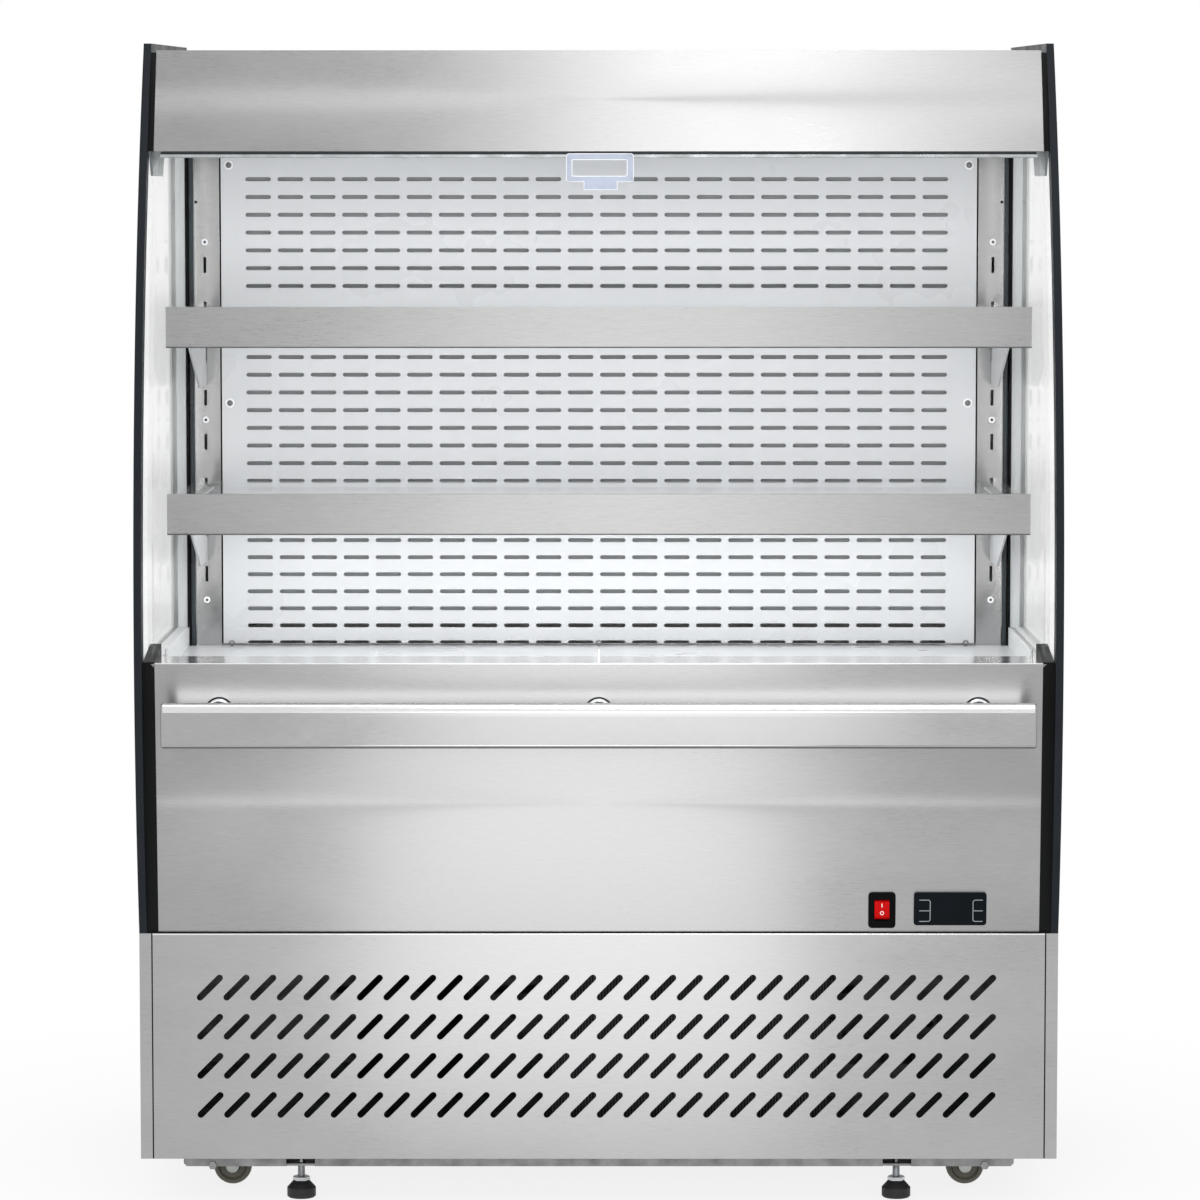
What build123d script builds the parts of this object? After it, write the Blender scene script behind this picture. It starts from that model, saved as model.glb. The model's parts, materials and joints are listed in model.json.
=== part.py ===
from build123d import *
from math import atan2, cos, radians, sin, sqrt
import os

# Open multideck display fridge, in millimetres.
# X is across the front, +Y runs to the back, +Z is up, and the floor is Z = 0.
# Lengths ending in _setback, _reach, _inset and _gap say how one piece stands to the next.

# Overall
width = 1200.0
depth = 800.0
bar_reach = 86.0            # how far the bumper bar stands ahead of the base grille
base_front = -depth / 2 + bar_reach
back = depth / 2
half_width = width / 2
sheet = 1.2                 # folded sheet metal
fit = 0.05                  # radial running clearance

# Base compartment
base_bottom = 61.0
base_height = 298.0
base_top = base_bottom + base_height
base_side_width = 15.5
base_inner = half_width - base_side_width
grille_gap = 1.8
pan_sheet = 1.5
pan_lip = 25.0
channel_sheet = 3.0
channel_height = 17.0
channel_depth = 35.0
channel_setback = 35.0
channel_end_gap = 53.0
channel_half = half_width - channel_end_gap
channel_chamfer = 4.0
post_size = 30.0
post_sheet = 2.5

# Slots of the base grille
slot_margin = 55.0
slot_rows = 4
slot_pitch_x = 34.85
slot_pitch_z = 51.7
slot_length = 45.0
slot_width = 8.8
slot_lean = 45.0
slot_shift = -3.0

# Louvres of the rear cover, and the gland for the supply cord
louvre_size = (160.0, 8.0)
louvre_pitch = (200.0, 40.0)
louvre_margin = 100.0
louvre_rows = 3
gland_inset = 120.0
gland_rise = 59.0
gland_radius = 11.0
gland_bore = 5.5
gland_length = 14.0

# Casters and levelling feet
caster_inset = 128.0
caster_x = half_width - caster_inset
caster_setback = 140.0
caster_trail = 18.0
wheel_radius = 25.5
wheel_width = 20.0
wheel_gap = 1.0
fork_sheet = 2.5
fork_reach = 15.0           # how far the bridge runs past the kingpin and the axle
cheek_radius = 8.5
caster_plate_size = (64.0, 56.0)
caster_plate_sheet = 3.0
race_radius = 19.0
kingpin_radius = 4.0
axle_radius = 4.0
foot_inset = 207.0
foot_x = half_width - foot_inset
foot_radius = 19.0
foot_rim = 14.0
foot_height = 22.0
stem_radius = 5.0
stem_end_gap = 2.0
stem_hex = 19.0
stem_hex_height = 6.0
foot_notch = 38.0

# Insulated body and side frames
wall_thickness = 25.0
wall_inner = half_width - wall_thickness
column_width = 34.4
column_inner = half_width - column_width
column_depth = 198.0
column_front = back - column_depth
rear_wall_thickness = 60.0
rear_wall_front = back - rear_wall_thickness
tank_floor_thickness = 62.0
tank_floor_top = base_top + tank_floor_thickness
tank_height = 357.0
ledge_top = base_top + tank_height
side_radius = 1586.2        # front edge of the sides, one arc
side_nose_reach = 46.14     # how far the arc's nose stands ahead of the base grille
side_nose_y = base_front - side_nose_reach
side_nose_rise = 379.8
side_nose_z = base_top + side_nose_rise
side_height = 1160.0        # from the base to the front corner of the side's top
side_front_top = base_top + side_height
side_rear_rise = 11.0
side_rear_top = side_front_top + side_rear_rise
trim_width = 10.0
trim_depth = 28.0
glass_groove = 8.0
glass_thickness = 6.0
glass_inset = 3.0

# Lower front: leaning panel, ledge, caps, bumper bar
panel_foot_gap = 2.0
panel_foot_z = base_top + panel_foot_gap
panel_foot_setback = 3.0
panel_foot_y = base_front + panel_foot_setback
panel_lean = 30.0           # the panel's top stands this far ahead of its foot
ledge_rear_setback = 70.0
ledge_rear = base_front + ledge_rear_setback
ledge_lip = 61.0
hook_inset = 7.0
hook_x = wall_inner - hook_inset
hook_wire = 3.0
hook_height = 9.0
hook_setback = 8.0
hook_reach = 10.0
cap_outer = half_width - trim_width
wedge_rise = 16.0
wedge_nose = 1.0
wedge_length = 102.0
cap_corner = 10.0
bar_inset = 37.0
bar_half = half_width - bar_inset
bar_drop = 105.0            # from the ledge to the bar's lower edge
bar_bottom = ledge_top - bar_drop
bar_height = 58.0
bar_depth = 23.0
bar_edge = 5.0
standoff_inset = 108.0
standoff_x = half_width - standoff_inset
standoff_rise = 41.0
standoff_z = bar_bottom + standoff_rise
standoff_flange_radius = 17.5
standoff_flange = 4.0
standoff_radius = 11.0

# Switch and controller
switch_inset = 230.5
switch_x = half_width - switch_inset
switch_rise = 31.0
switch_z = base_top + switch_rise
switch_size = (35.6, 47.6)
switch_body = (30.0, 42.0)
switch_body_depth = 22.0
switch_bezel = 2.5
rocker_size = (19.4, 27.0)
rocker_gap = 0.3
rocker_pivot_depth = 5.0
rocker_pin_radius = 1.5
rocker_pin_reach = 2.0
rocker_throw = 20.0
rocker_depth = 9.0
controller_inset = 141.6
controller_x = half_width - controller_inset
controller_rise = 33.0
controller_z = base_top + controller_rise
controller_size = (94.7, 43.4)
controller_body = (86.0, 35.0)
controller_body_depth = 40.0
controller_bezel = 4.0
controller_corner = 4.0
display_size = (52.0, 22.0)
display_recess = 1.0

# Canopy
canopy_drop = 142.0         # from the side's front corner to the canopy's lower edge
canopy_bottom = side_front_top - canopy_drop
canopy_height = 133.0
canopy_top = canopy_bottom + canopy_height
canopy_setback = 105.0
canopy_front = base_front + canopy_setback
canopy_lean = 50.0          # the canopy panel leans back by this much
canopy_sheet = 1.3
canopy_end_thickness = 12.0
canopy_end_inner = cap_outer - canopy_end_thickness
canopy_end_cover = 5.0
canopy_half = canopy_end_inner + canopy_end_cover
roof_thickness = 60.0
roof_drop = 2.0
roof_top = canopy_top - roof_drop
roof_bottom = roof_top - roof_thickness
guide_drop = 32.0
guide_bottom = canopy_bottom - guide_drop
guide_setback = 5.0
guide_front = canopy_front + guide_setback
guide_length = 200.0
guide_rear = guide_front + guide_length
guide_slope = 26.0
guide_sheet = 3.0
nozzle_setback = 59.0
nozzle_front = canopy_front + nozzle_setback
nozzle_depth = 40.0
nozzle_height = 20.0
nozzle_cells = 20
nozzle_web = 3.0
ceiling_rise = 3.0
ceiling_z = canopy_bottom + ceiling_rise
lamp_gap = 6.0
lamp_inset = 38.0
lamp_half = canopy_end_inner - lamp_inset
lamp_width = 36.0
lamp_height = 5.0
lens_width = 26.0
lens_height = 5.0
lamp_y = nozzle_front + nozzle_depth + lamp_gap + lamp_width / 2

# Night curtain
roll_radius = 17.0
roller_setback = 38.0
roller_y = canopy_front + roller_setback
roller_rise = 35.0
roller_z = canopy_bottom + roller_rise
roll_end_gap = 13.0
roll_half = canopy_end_inner - roll_end_gap
roller_pin_radius = 4.0
roller_pin_gap = 1.0
roller_hole_depth = 9.0
cloth_inset = 5.0
cloth_half = roll_half - cloth_inset
cloth_sheet = 0.4
cloth_gap = 0.3
pull_bar_gap = 12.0
pull_bar_half = cap_outer - guide_sheet - pull_bar_gap
pull_bar_drop = 35.5        # from the roller's axis to the bar's
pull_bar_z = roller_z - pull_bar_drop
pull_bar_size = (22.0, 11.0)
pull_bar_edge = 3.0
cloth_to_bar = 5.3          # from the cloth's face to the bar's middle
pull_bar_y = roller_y - roll_radius - cloth_gap - cloth_sheet - cloth_to_bar
handle_size = (88.0, 40.5)
handle_window = (69.0, 19.5)
handle_window_drop = 6.0
handle_tab = (44.0, 10.0)
handle_tab_slope = 4.0
handle_sheet = 5.0
handle_corner = 6.0

# Display space
deck_drop = 27.0            # from the ledge to the deck
deck_top = ledge_top - deck_drop
return_width = 90.0
deck_front = ledge_rear + return_width
grille_top = ledge_top - ledge_lip
return_sheet = 4.0
return_slot = (34.0, 60.0)
return_pitch = 50.0
return_margin = 10.0
upright_setback = 4.0
back_panel_y = column_front + upright_setback
upright_width = 37.0
upright_inner = column_inner - upright_width
upright_depth = 25.0
upright_sheet = 2.0
upright_slot_inset = 22.0
upright_slot_x = upright_inner + upright_slot_inset
upright_slot = (2.9, 22.0)
upright_pitch = 61.8
upright_slot_drop = 157.6
upright_top_slot = ceiling_z - upright_slot_drop
upright_slots = 8
back_panel_gap = 1.0
back_panel_half = upright_inner - back_panel_gap
back_panel_return = 12.0
guard_wire = 4.0
guard_height = 9.0
guard_setback = 15.0
guard_leg_pitch = 135.0
guard_legs = 5

# Shelves
shelf_slots = {"upper": 1, "lower": 5}   # slot of the upright that each shelf hooks into
shelf_over_slot = 8.9
shelf_glass = 8.0
shelf_end_gap = 3.6
shelf_glass_half = column_inner - shelf_end_gap
shelf_glass_rear_gap = 40.0
rail_setback = 22.0         # how far the rails stand behind the canopy's lower edge
rail_front = canopy_front + rail_setback
rail_overhang = 9.0
rail_half = shelf_glass_half + rail_overhang
rail_height = 54.0
rail_lip = 3.3
rail_sheet = 2.5
rail_seat = 26.0
rail_hem = 12.0
bracket_sheet = 2.5
bracket_drop = 114.0        # from the glass to the bracket's lowest edge
bracket_nose = 12.0
bracket_flange = 15.0
bracket_front_gap = 30.0
bracket_toe = 110.0
bracket_corner = 22.0
tab_height = 14.0
tab_reach = 7.0
tab_hook = 5.0

# Refrigeration parts
compressor_x = -260.0
compressor_setback = 420.0
compressor_y = base_front + compressor_setback
compressor_radius = 78.0
compressor_height = 185.0
compressor_foot = 12.0
compressor_foot_size = (172.0, 117.0)
compressor_dome = 34.0
terminal_size = (30.0, 50.0, 65.0)
terminal_reach = 20.0
terminal_rise = 55.0
condenser_x = (-60.0, 300.0)
condenser_setback = 60.0
condenser_depth = 50.0
condenser_front = base_front + condenser_setback
condenser_rear = condenser_front + condenser_depth
condenser_height = 247.5
condenser_bottom = base_bottom + pan_sheet
condenser_top = condenser_bottom + condenser_height
condenser_bends = 4
shroud_depth = 30.0
fan_hub_radius = 22.0
fan_hub_length = 24.0
fan_end_gap = 1.0
condenser_fan_radius = 96.0
evaporator_fan_radius = 84.0
fan_hole_gap = 6.0
fan_blades = 5
fan_pitch_angle = 28.0
blade_sheet = 2.0
blade_root = 13.0
blade_chord = 33.0
blade_tip_gap = 3.0
motor_radius = 26.0
motor_length = 34.0
motor_shaft_radius = 4.0
motor_arm = (12.0, 3.0)
motor_leg_gap = 3.0
evaporator_end_gap = 55.0
evaporator_half = wall_inner - evaporator_end_gap
fan_plate_gap = 40.0
fan_plate_y = deck_front + fan_plate_gap
fan_plate_sheet = 2.0
evaporator_gap = 60.0
evaporator_front = fan_plate_y + evaporator_gap
evaporator_depth = 180.0
evaporator_rear = evaporator_front + evaporator_depth
evaporator_height = 219.0
evaporator_top = tank_floor_top + evaporator_height
evaporator_bends = 3
coil_tube = 9.0
bend_reach = 14.0
bend_pitch = 25.4
end_plate = 3.0
evaporator_fan_x = 280.0
evaporator_fan_rise = 139.0
evaporator_fan_z = tank_floor_top + evaporator_fan_rise
drain_pan_x = (60.0, 440.0)
drain_pan_gap = 74.0        # from the pan to the rear cover's face
drain_pan_depth = 200.0
drain_pan_height = 45.0


def box(x, y, z):
    """A block between pairs of coordinates."""
    size = (x[1] - x[0], y[1] - y[0], z[1] - z[0])
    centre = ((x[0] + x[1]) / 2, (y[0] + y[1]) / 2, (z[0] + z[1]) / 2)
    return Pos(*centre) * Box(*size)


def across(outline, x_low, x_high):
    """A solid with this Y-Z outline between two X positions."""
    return extrude(Plane.YZ.offset(x_low) * outline, x_high - x_low)


def facing(outline, y_rear, thickness):
    """A solid with this X-Z outline, its rear face at y_rear."""
    return extrude(Plane.XZ.offset(-y_rear) * outline, thickness)


def level(outline, z_low, thickness):
    """A solid with this X-Y outline standing on z_low."""
    return extrude(Plane.XY.offset(z_low) * outline, thickness)


def polygon(*points):
    return make_face(Polyline(*points, close=True))


def rod(radius, start, end):
    """A round bar between two points."""
    axis = Vector(*end) - Vector(*start)
    return extrude(Plane(origin=start, z_dir=axis) * Circle(radius), axis.length)


def wire(thickness, start, end):
    """A thin round bar, made six-sided to save faces."""
    axis = Vector(*end) - Vector(*start)
    section = RegularPolygon(thickness / 2, 6)
    return extrude(Plane(origin=start, z_dir=axis) * section, axis.length)


def both_sides(solid):
    """A right-hand piece with its mirrored left-hand twin."""
    return Compound(children=[solid, mirror(solid, Plane.YZ)])


def group(pieces):
    return Compound(children=list(pieces))


def side_edge(z, inset=0.0):
    """Y of the side's curved front edge at height z, set in along its radius."""
    radius = side_radius - inset
    return side_nose_y + side_radius - sqrt(radius**2 - (z - side_nose_z) ** 2)


def side_top(y, inset=0.0):
    """Height of the side's sloping top edge at y, set down square to itself."""
    front = side_edge(side_front_top)
    slope = (side_rear_top - side_front_top) / (back - front)
    return side_front_top + slope * (y - front) - inset * sqrt(1 + slope**2)


def curved_edge(z_low, z_high, inset):
    """The part of the curved front edge between two heights, as an arc."""
    middle = (z_low + z_high) / 2
    heights = (z_low, middle, z_high)
    return ThreePointArc(*[(side_edge(z, inset), z) for z in heights])


def side_outline(z_low, inset, y_rear):
    """The side's outline above z_low, as far back as y_rear."""
    z_front = side_top(side_edge(side_front_top, inset), inset)
    front = curved_edge(z_low, z_front, inset)
    top = Line((side_edge(z_front, inset), z_front), (y_rear, side_top(y_rear, inset)))
    rear = Line(top @ 1, (y_rear, z_low))
    foot = Line(rear @ 1, front @ 0)
    return make_face([front, top, rear, foot])


def panel_y(z, behind=0.0):
    """Y of the leaning lower panel's face at height z."""
    share = (z - panel_foot_z) / (ledge_top - panel_foot_z)
    return panel_foot_y - panel_lean * share + behind


def canopy_y(z, behind=0.0):
    """Y of the canopy's leaning face at height z."""
    share = (z - canopy_bottom) / (canopy_top - canopy_bottom)
    return canopy_front + canopy_lean * share + behind


def on_panel(x, z):
    """A plane on the lower panel's face, its Z axis pointing out of the face."""
    angle = atan2(panel_lean, ledge_top - panel_foot_z)
    outward = (0, -cos(angle), -sin(angle))
    return Plane(origin=(x, panel_y(z), z), x_dir=(1, 0, 0), z_dir=outward)


# Base --------------------------------------------------------------------

channel_bottom = base_bottom - channel_height
front_caster_y = base_front + caster_setback
rear_caster_y = back - caster_setback
caster_places = {
    "front_left": (-1, front_caster_y),
    "front_right": (1, front_caster_y),
    "rear_left": (-1, rear_caster_y),
    "rear_right": (1, rear_caster_y),
}
foot_y = base_front + channel_setback + channel_depth / 2


def under_channel(y_front):
    """A U-channel under the floor pan with its lower corners cut off."""
    y_rear = y_front + channel_depth
    length = (-channel_half, channel_half)
    solid = box(length, (y_front, y_rear), (channel_bottom, base_bottom))
    inside = (y_front + channel_sheet, y_rear - channel_sheet)
    solid -= box(length, inside, (channel_bottom + channel_sheet, base_bottom))
    for side in (-1, 1):
        corner = polygon(
            (side * channel_half, channel_bottom),
            (side * (channel_half - channel_chamfer), channel_bottom),
            (side * channel_half, channel_bottom + channel_chamfer),
        )
        solid -= facing(corner, y_rear, channel_depth)
    return solid


def front_channel():
    """The front channel, open ahead of each levelling foot and bored for its stem."""
    y_front = base_front + channel_setback
    solid = under_channel(y_front)
    for side in (-1, 1):
        x = side * foot_x
        notch = (x - foot_notch / 2, x + foot_notch / 2)
        front_wall = (y_front, y_front + channel_sheet)
        solid -= box(notch, front_wall, (channel_bottom, base_bottom))
        solid -= rod(stem_radius + fit, (x, foot_y, 0), (x, foot_y, base_bottom))
    return solid


def corner_post(side, y, inward):
    """An angle post; its legs run inwards from the corner at the given y."""
    x = side * base_inner
    leg = polygon(
        (x, y),
        (x - side * post_size, y),
        (x - side * post_size, y + inward * post_sheet),
        (x - side * post_sheet, y + inward * post_sheet),
        (x - side * post_sheet, y + inward * post_size),
        (x, y + inward * post_size),
    )
    return level(leg, base_bottom + pan_lip, base_top - base_bottom - pan_lip)


def caster_plate(side, y):
    plate = Rectangle(*caster_plate_size) - Circle(kingpin_radius + fit)
    place = Pos(side * caster_x, y)
    return place * level(plate, base_bottom - caster_plate_sheet, caster_plate_sheet)


def base_frame():
    pieces = [front_channel(), under_channel(back - channel_setback - channel_depth)]
    for side in (-1, 1):
        pieces.append(corner_post(side, base_front + sheet, 1))
        pieces.append(corner_post(side, back - sheet, -1))
    pieces += [caster_plate(side, y) for side, y in caster_places.values()]
    return group(pieces)


def floor_pan():
    """A shallow tray with its lips turned up."""
    outer_x = (-base_inner, base_inner)
    outer_y = (base_front + sheet, back - sheet)
    inner_x = (outer_x[0] + pan_sheet, outer_x[1] - pan_sheet)
    inner_y = (outer_y[0] + pan_sheet, outer_y[1] - pan_sheet)
    tray = box(outer_x, outer_y, (base_bottom, base_bottom + pan_lip))
    tray -= box(inner_x, inner_y, (base_bottom + pan_sheet, base_bottom + pan_lip))
    return tray


def base_grille():
    """The front grille: a sheet with rows of leaning slots."""
    half = base_inner - grille_gap
    panel = box((-half, half), (base_front, base_front + sheet), (base_bottom, base_top))
    slot = Rot(Z=slot_lean) * Rectangle(slot_length, slot_width)
    columns = int(2 * (half - slot_margin) / slot_pitch_x)
    places = GridLocations(slot_pitch_x, slot_pitch_z, columns, slot_rows)
    centre = Pos(slot_shift, (base_bottom + base_top) / 2)
    slots = Sketch() + [centre * place * slot for place in places]
    return panel - facing(slots, base_front + sheet, sheet)


def rear_cover():
    """The back of the machine bay, louvred, with the gland for the supply cord."""
    half = base_inner - grille_gap
    panel = box((-half, half), (back - sheet, back), (base_bottom, base_top))
    columns = int(2 * (half - louvre_margin) / louvre_pitch[0])
    places = GridLocations(*louvre_pitch, columns, louvre_rows)
    centre = Pos(0, (base_bottom + base_top) / 2)
    louvres = Sketch() + [centre * place * Rectangle(*louvre_size) for place in places]
    panel -= facing(louvres, back, sheet)
    gland = Pos(half_width - gland_inset, base_bottom + gland_rise)
    panel -= facing(gland * Circle(gland_bore), back, sheet)
    collar = gland * (Circle(gland_radius) - Circle(gland_bore))
    return group([panel, facing(collar, back - sheet, gland_length)])


def side_base_panel():
    """The steel side of the base, folded in at the front and the back."""
    plan = polygon(
        (base_inner, base_front),
        (half_width, base_front),
        (half_width, back),
        (base_inner, back),
        (base_inner, back - sheet),
        (half_width - sheet, back - sheet),
        (half_width - sheet, base_front + sheet),
        (base_inner, base_front + sheet),
    )
    return level(plan, base_bottom, base_top - base_bottom)


# Casters and feet --------------------------------------------------------


def caster_fork(side, y):
    """A low fork: two cheeks, a bridge, a swivel race, kingpin and axle."""
    king_x = side * caster_x
    axle_x = king_x + side * caster_trail
    plate_bottom = base_bottom - caster_plate_sheet
    bridge_bottom = 2 * wheel_radius + wheel_gap
    cheek_gap = wheel_width / 2 + wheel_gap
    bridge_top = bridge_bottom + fork_sheet
    cheek = Pos(axle_x, wheel_radius) * Circle(cheek_radius)
    cheek += polygon(
        (axle_x - side * cheek_radius, wheel_radius),
        (axle_x + side * cheek_radius, wheel_radius),
        (axle_x + side * fork_reach, bridge_bottom),
        (king_x - side * fork_reach, bridge_bottom),
    )
    outer = cheek_gap + fork_sheet
    fork = facing(cheek, y + outer, fork_sheet) + facing(cheek, y - cheek_gap, fork_sheet)
    bridge_x = sorted((king_x - side * fork_reach, axle_x + side * fork_reach))
    fork += box(bridge_x, (y - outer, y + outer), (bridge_bottom, bridge_top))
    fork += rod(race_radius, (king_x, y, bridge_bottom), (king_x, y, plate_bottom - fit))
    fork += rod(kingpin_radius, (king_x, y, bridge_bottom), (king_x, y, base_bottom - fit))
    return fork + rod(axle_radius, (axle_x, y - outer, wheel_radius), (axle_x, y + outer, wheel_radius))


def caster_wheel(side, y):
    """A wheel bored for its axle."""
    disc = Circle(wheel_radius) - Circle(axle_radius + fit)
    place = Pos(side * (caster_x + caster_trail), 0, wheel_radius)
    return place * facing(disc, y + wheel_width / 2, wheel_width)


def levelling_foot(side):
    """A foot cup under a threaded stem with a spanner hexagon."""
    cup = polygon(
        (0, 0),
        (foot_radius, 0),
        (foot_radius, foot_rim),
        (stem_hex / 2, foot_height),
        (0, foot_height),
    )
    foot = revolve(Plane.XZ * cup, Axis.Z)
    hexagon = RegularPolygon(stem_hex / 2, 6, major_radius=False)
    foot += level(hexagon, foot_height, stem_hex_height)
    foot += rod(stem_radius, (0, 0, foot_height), (0, 0, base_bottom - stem_end_gap))
    return Pos(side * foot_x, foot_y) * foot


# Insulated body ----------------------------------------------------------


def side_wall():
    """The insulated side of the tank; its front edge follows the trim's inner curve."""
    top = ledge_top - sheet
    front = curved_edge(base_top, top, trim_depth)
    rest = Polyline(front @ 1, (back, top), (back, base_top), front @ 0)
    return across(make_face([front, rest]), wall_inner, half_width)


def rear_column():
    """The insulated upright side behind the glass, grooved for the pane."""
    foot = ledge_top - sheet
    outline = polygon(
        (column_front, foot),
        (column_front, side_top(column_front, trim_depth)),
        (back, side_top(back, trim_depth)),
        (back, foot),
    )
    return across(outline, column_inner, half_width) - side_glass()


def side_glass():
    """The side pane, held in grooves at its front, top and rear edges."""
    outline = side_outline(ledge_top - sheet, trim_depth - glass_groove, column_front + glass_groove)
    outer = half_width - glass_inset
    return across(outline, outer - glass_thickness, outer)


def side_trim():
    """The black moulding along the curved front edge and the top of the side."""
    whole = side_outline(base_top, 0.0, back)
    window = side_outline(base_top, trim_depth, back)
    return across(whole - window, half_width - trim_width, half_width) - side_glass()


def tank_floor():
    return box((-wall_inner, wall_inner), (ledge_rear - sheet, rear_wall_front), (base_top, tank_floor_top))


def tank_front_wall():
    """The insulated front wall behind the leaning panel, pocketed for the controls."""
    top = ledge_top - sheet
    rear = ledge_rear - sheet
    outline = polygon(
        (panel_y(base_top, sheet), base_top),
        (panel_y(top, sheet), top),
        (rear, top),
        (rear, base_top),
    )
    wall = across(outline, -wall_inner, wall_inner)
    wall -= on_panel(switch_x, switch_z) * sunk_box(switch_body, switch_body_depth)
    wall -= on_panel(controller_x, controller_z) * sunk_box(controller_body, controller_body_depth)
    return wall


def sunk_box(size, box_depth):
    """A box reaching from the panel's face into the wall behind it."""
    return Pos(0, 0, -box_depth / 2) * Box(size[0], size[1], box_depth)


def rear_wall():
    """The insulated back, stepped where the side walls end and the columns begin."""
    y = (rear_wall_front, back)
    lower = box((-wall_inner, wall_inner), y, (base_top, ledge_top - sheet))
    upper = box((-column_inner, column_inner), y, (base_top, roof_bottom))
    return lower + upper


def roof_panel():
    """The insulated roof between the canopy ends and the rear columns."""
    front_part = polygon(
        (canopy_y(roof_bottom, canopy_sheet), roof_bottom),
        (canopy_y(roof_top, canopy_sheet), roof_top),
        (column_front, roof_top),
        (column_front, roof_bottom),
    )
    roof = across(front_part, -canopy_end_inner, canopy_end_inner)
    roof += box((-column_inner, column_inner), (column_front, back), (roof_bottom, roof_top))
    return roof


# Lower front -------------------------------------------------------------


def lower_front_panel():
    """The leaning sheet-metal panel, cut out for the switch and the controller."""
    top = ledge_top - sheet
    outline = polygon(
        (panel_y(panel_foot_z), panel_foot_z),
        (panel_y(top), top),
        (panel_y(top, sheet), top),
        (panel_y(panel_foot_z, sheet), panel_foot_z),
    )
    panel = across(outline, -wall_inner, wall_inner)
    panel -= on_panel(switch_x, switch_z) * sunk_box(switch_body, switch_body_depth)
    panel -= on_panel(controller_x, controller_z) * sunk_box(controller_body, controller_body_depth)
    return panel


def curtain_hook(x):
    """A wire hook that rises from the ledge and turns back over the pull bar."""
    y = ledge_rear - hook_setback
    top = ledge_top + hook_height
    hook = wire(hook_wire, (x, y, ledge_top), (x, y, top + hook_wire / 2))
    return hook + wire(hook_wire, (x, y, top), (x, y + hook_reach, top))


def front_ledge():
    """The polished ledge with its rear lip and three curtain hooks."""
    width_range = (-wall_inner, wall_inner)
    top = box(width_range, (panel_y(ledge_top), ledge_rear), (ledge_top - sheet, ledge_top))
    lip = box(width_range, (ledge_rear - sheet, ledge_rear), (grille_top, ledge_top))
    ledge = top + lip
    for x in (-hook_x, 0, hook_x):
        ledge += curtain_hook(x)
    return ledge


def end_cap():
    """The black cap beside the panel, ending above in a wedge."""
    top = ledge_top - sheet
    curve = curved_edge(base_top, top, trim_depth)
    front = Polyline(curve @ 0, (panel_y(base_top), base_top), (panel_y(top), top), curve @ 1)
    cap = across(make_face([curve, front]), wall_inner, cap_outer)
    inner_foot = cap.edges().filter_by(Axis.Y).sort_by(Axis.X)[0]
    cap = fillet([inner_foot], cap_corner)
    wedge = polygon(
        (panel_y(top), top),
        (panel_y(top), ledge_top + wedge_nose),
        (panel_y(top) + wedge_length, ledge_top + wedge_rise),
        (panel_y(top) + wedge_length, top),
    )
    return cap + across(wedge, wall_inner, cap_outer)


bar_front = -depth / 2
bar_rear = bar_front + bar_depth


def bumper_bar():
    """The full-width bumper, rounded along its length."""
    x = (-bar_half, bar_half)
    bar = box(x, (bar_front, bar_rear), (bar_bottom, bar_bottom + bar_height))
    return fillet(bar.edges().filter_by(Axis.X), bar_edge)


def standoff(x):
    """A round post with a flange on the leaning panel."""
    lowest = standoff_z - standoff_flange_radius
    flange_front = panel_y(lowest) - standoff_flange
    into_panel = panel_y(lowest) + 2 * standoff_flange
    post = rod(standoff_radius, (x, bar_rear, standoff_z), (x, into_panel, standoff_z))
    flange = rod(standoff_flange_radius, (x, flange_front, standoff_z), (x, into_panel, standoff_z))
    behind = polygon(
        (panel_y(base_top), base_top),
        (panel_y(ledge_top), ledge_top),
        (back, ledge_top),
        (back, base_top),
    )
    return (post + flange) - across(behind, x - wall_inner, x + wall_inner)


def bumper_standoffs():
    return group([standoff(x) for x in (-standoff_x, 0, standoff_x)])


# Switch and controller ---------------------------------------------------


def switch_frame():
    """The switch's bezel and body, open for the rocker and drilled for its pin."""
    bezel = Pos(0, 0, switch_bezel / 2) * Box(*switch_size, switch_bezel)
    bezel = chamfer(bezel.faces().sort_by(Axis.Z)[-1].edges(), switch_bezel / 2)
    frame = bezel + sunk_box(switch_body, switch_body_depth)
    opening = (rocker_size[0] + 2 * rocker_gap, rocker_size[1] + 2 * rocker_gap)
    well = switch_bezel + rocker_pivot_depth + rocker_size[1] / 2 + rocker_gap
    frame -= Pos(0, 0, switch_bezel - well / 2) * Box(*opening, well)
    half_pin = rocker_size[0] / 2 + rocker_pin_reach + rocker_gap
    pin_z = -rocker_pivot_depth
    frame -= rod(rocker_pin_radius + fit, (-half_pin, 0, pin_z), (half_pin, 0, pin_z))
    return on_panel(switch_x, switch_z) * frame


def switch_rocker():
    """The rocker: round-ended about its pin, with two faces meeting at a shallow V."""
    end_radius = rocker_size[1] / 2
    face = rocker_pivot_depth + switch_bezel
    fall = end_radius * sin(radians(rocker_throw / 2))
    wedge = polygon(
        (0, face),
        (end_radius, face + fall),
        (end_radius, -rocker_depth),
        (-end_radius, -rocker_depth),
        (-end_radius, face + fall),
    )
    profile = Circle(end_radius) & wedge
    half = rocker_size[0] / 2
    rocker = extrude(Plane.YZ.offset(-half) * profile, 2 * half)
    pin_end = half + rocker_pin_reach
    rocker += rod(rocker_pin_radius, (-pin_end, 0, 0), (pin_end, 0, 0))
    rocker = Rot(X=-rocker_throw / 2) * rocker
    return on_panel(switch_x, switch_z) * Pos(0, 0, -rocker_pivot_depth) * rocker


def controller():
    """The thermostat housing with a recessed display."""
    bezel = RectangleRounded(*controller_size, controller_corner)
    housing = extrude(bezel, controller_bezel)
    housing -= Pos(0, 0, controller_bezel - display_recess / 2) * Box(*display_size, display_recess)
    housing += sunk_box(controller_body, controller_body_depth)
    return on_panel(controller_x, controller_z) * housing


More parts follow.
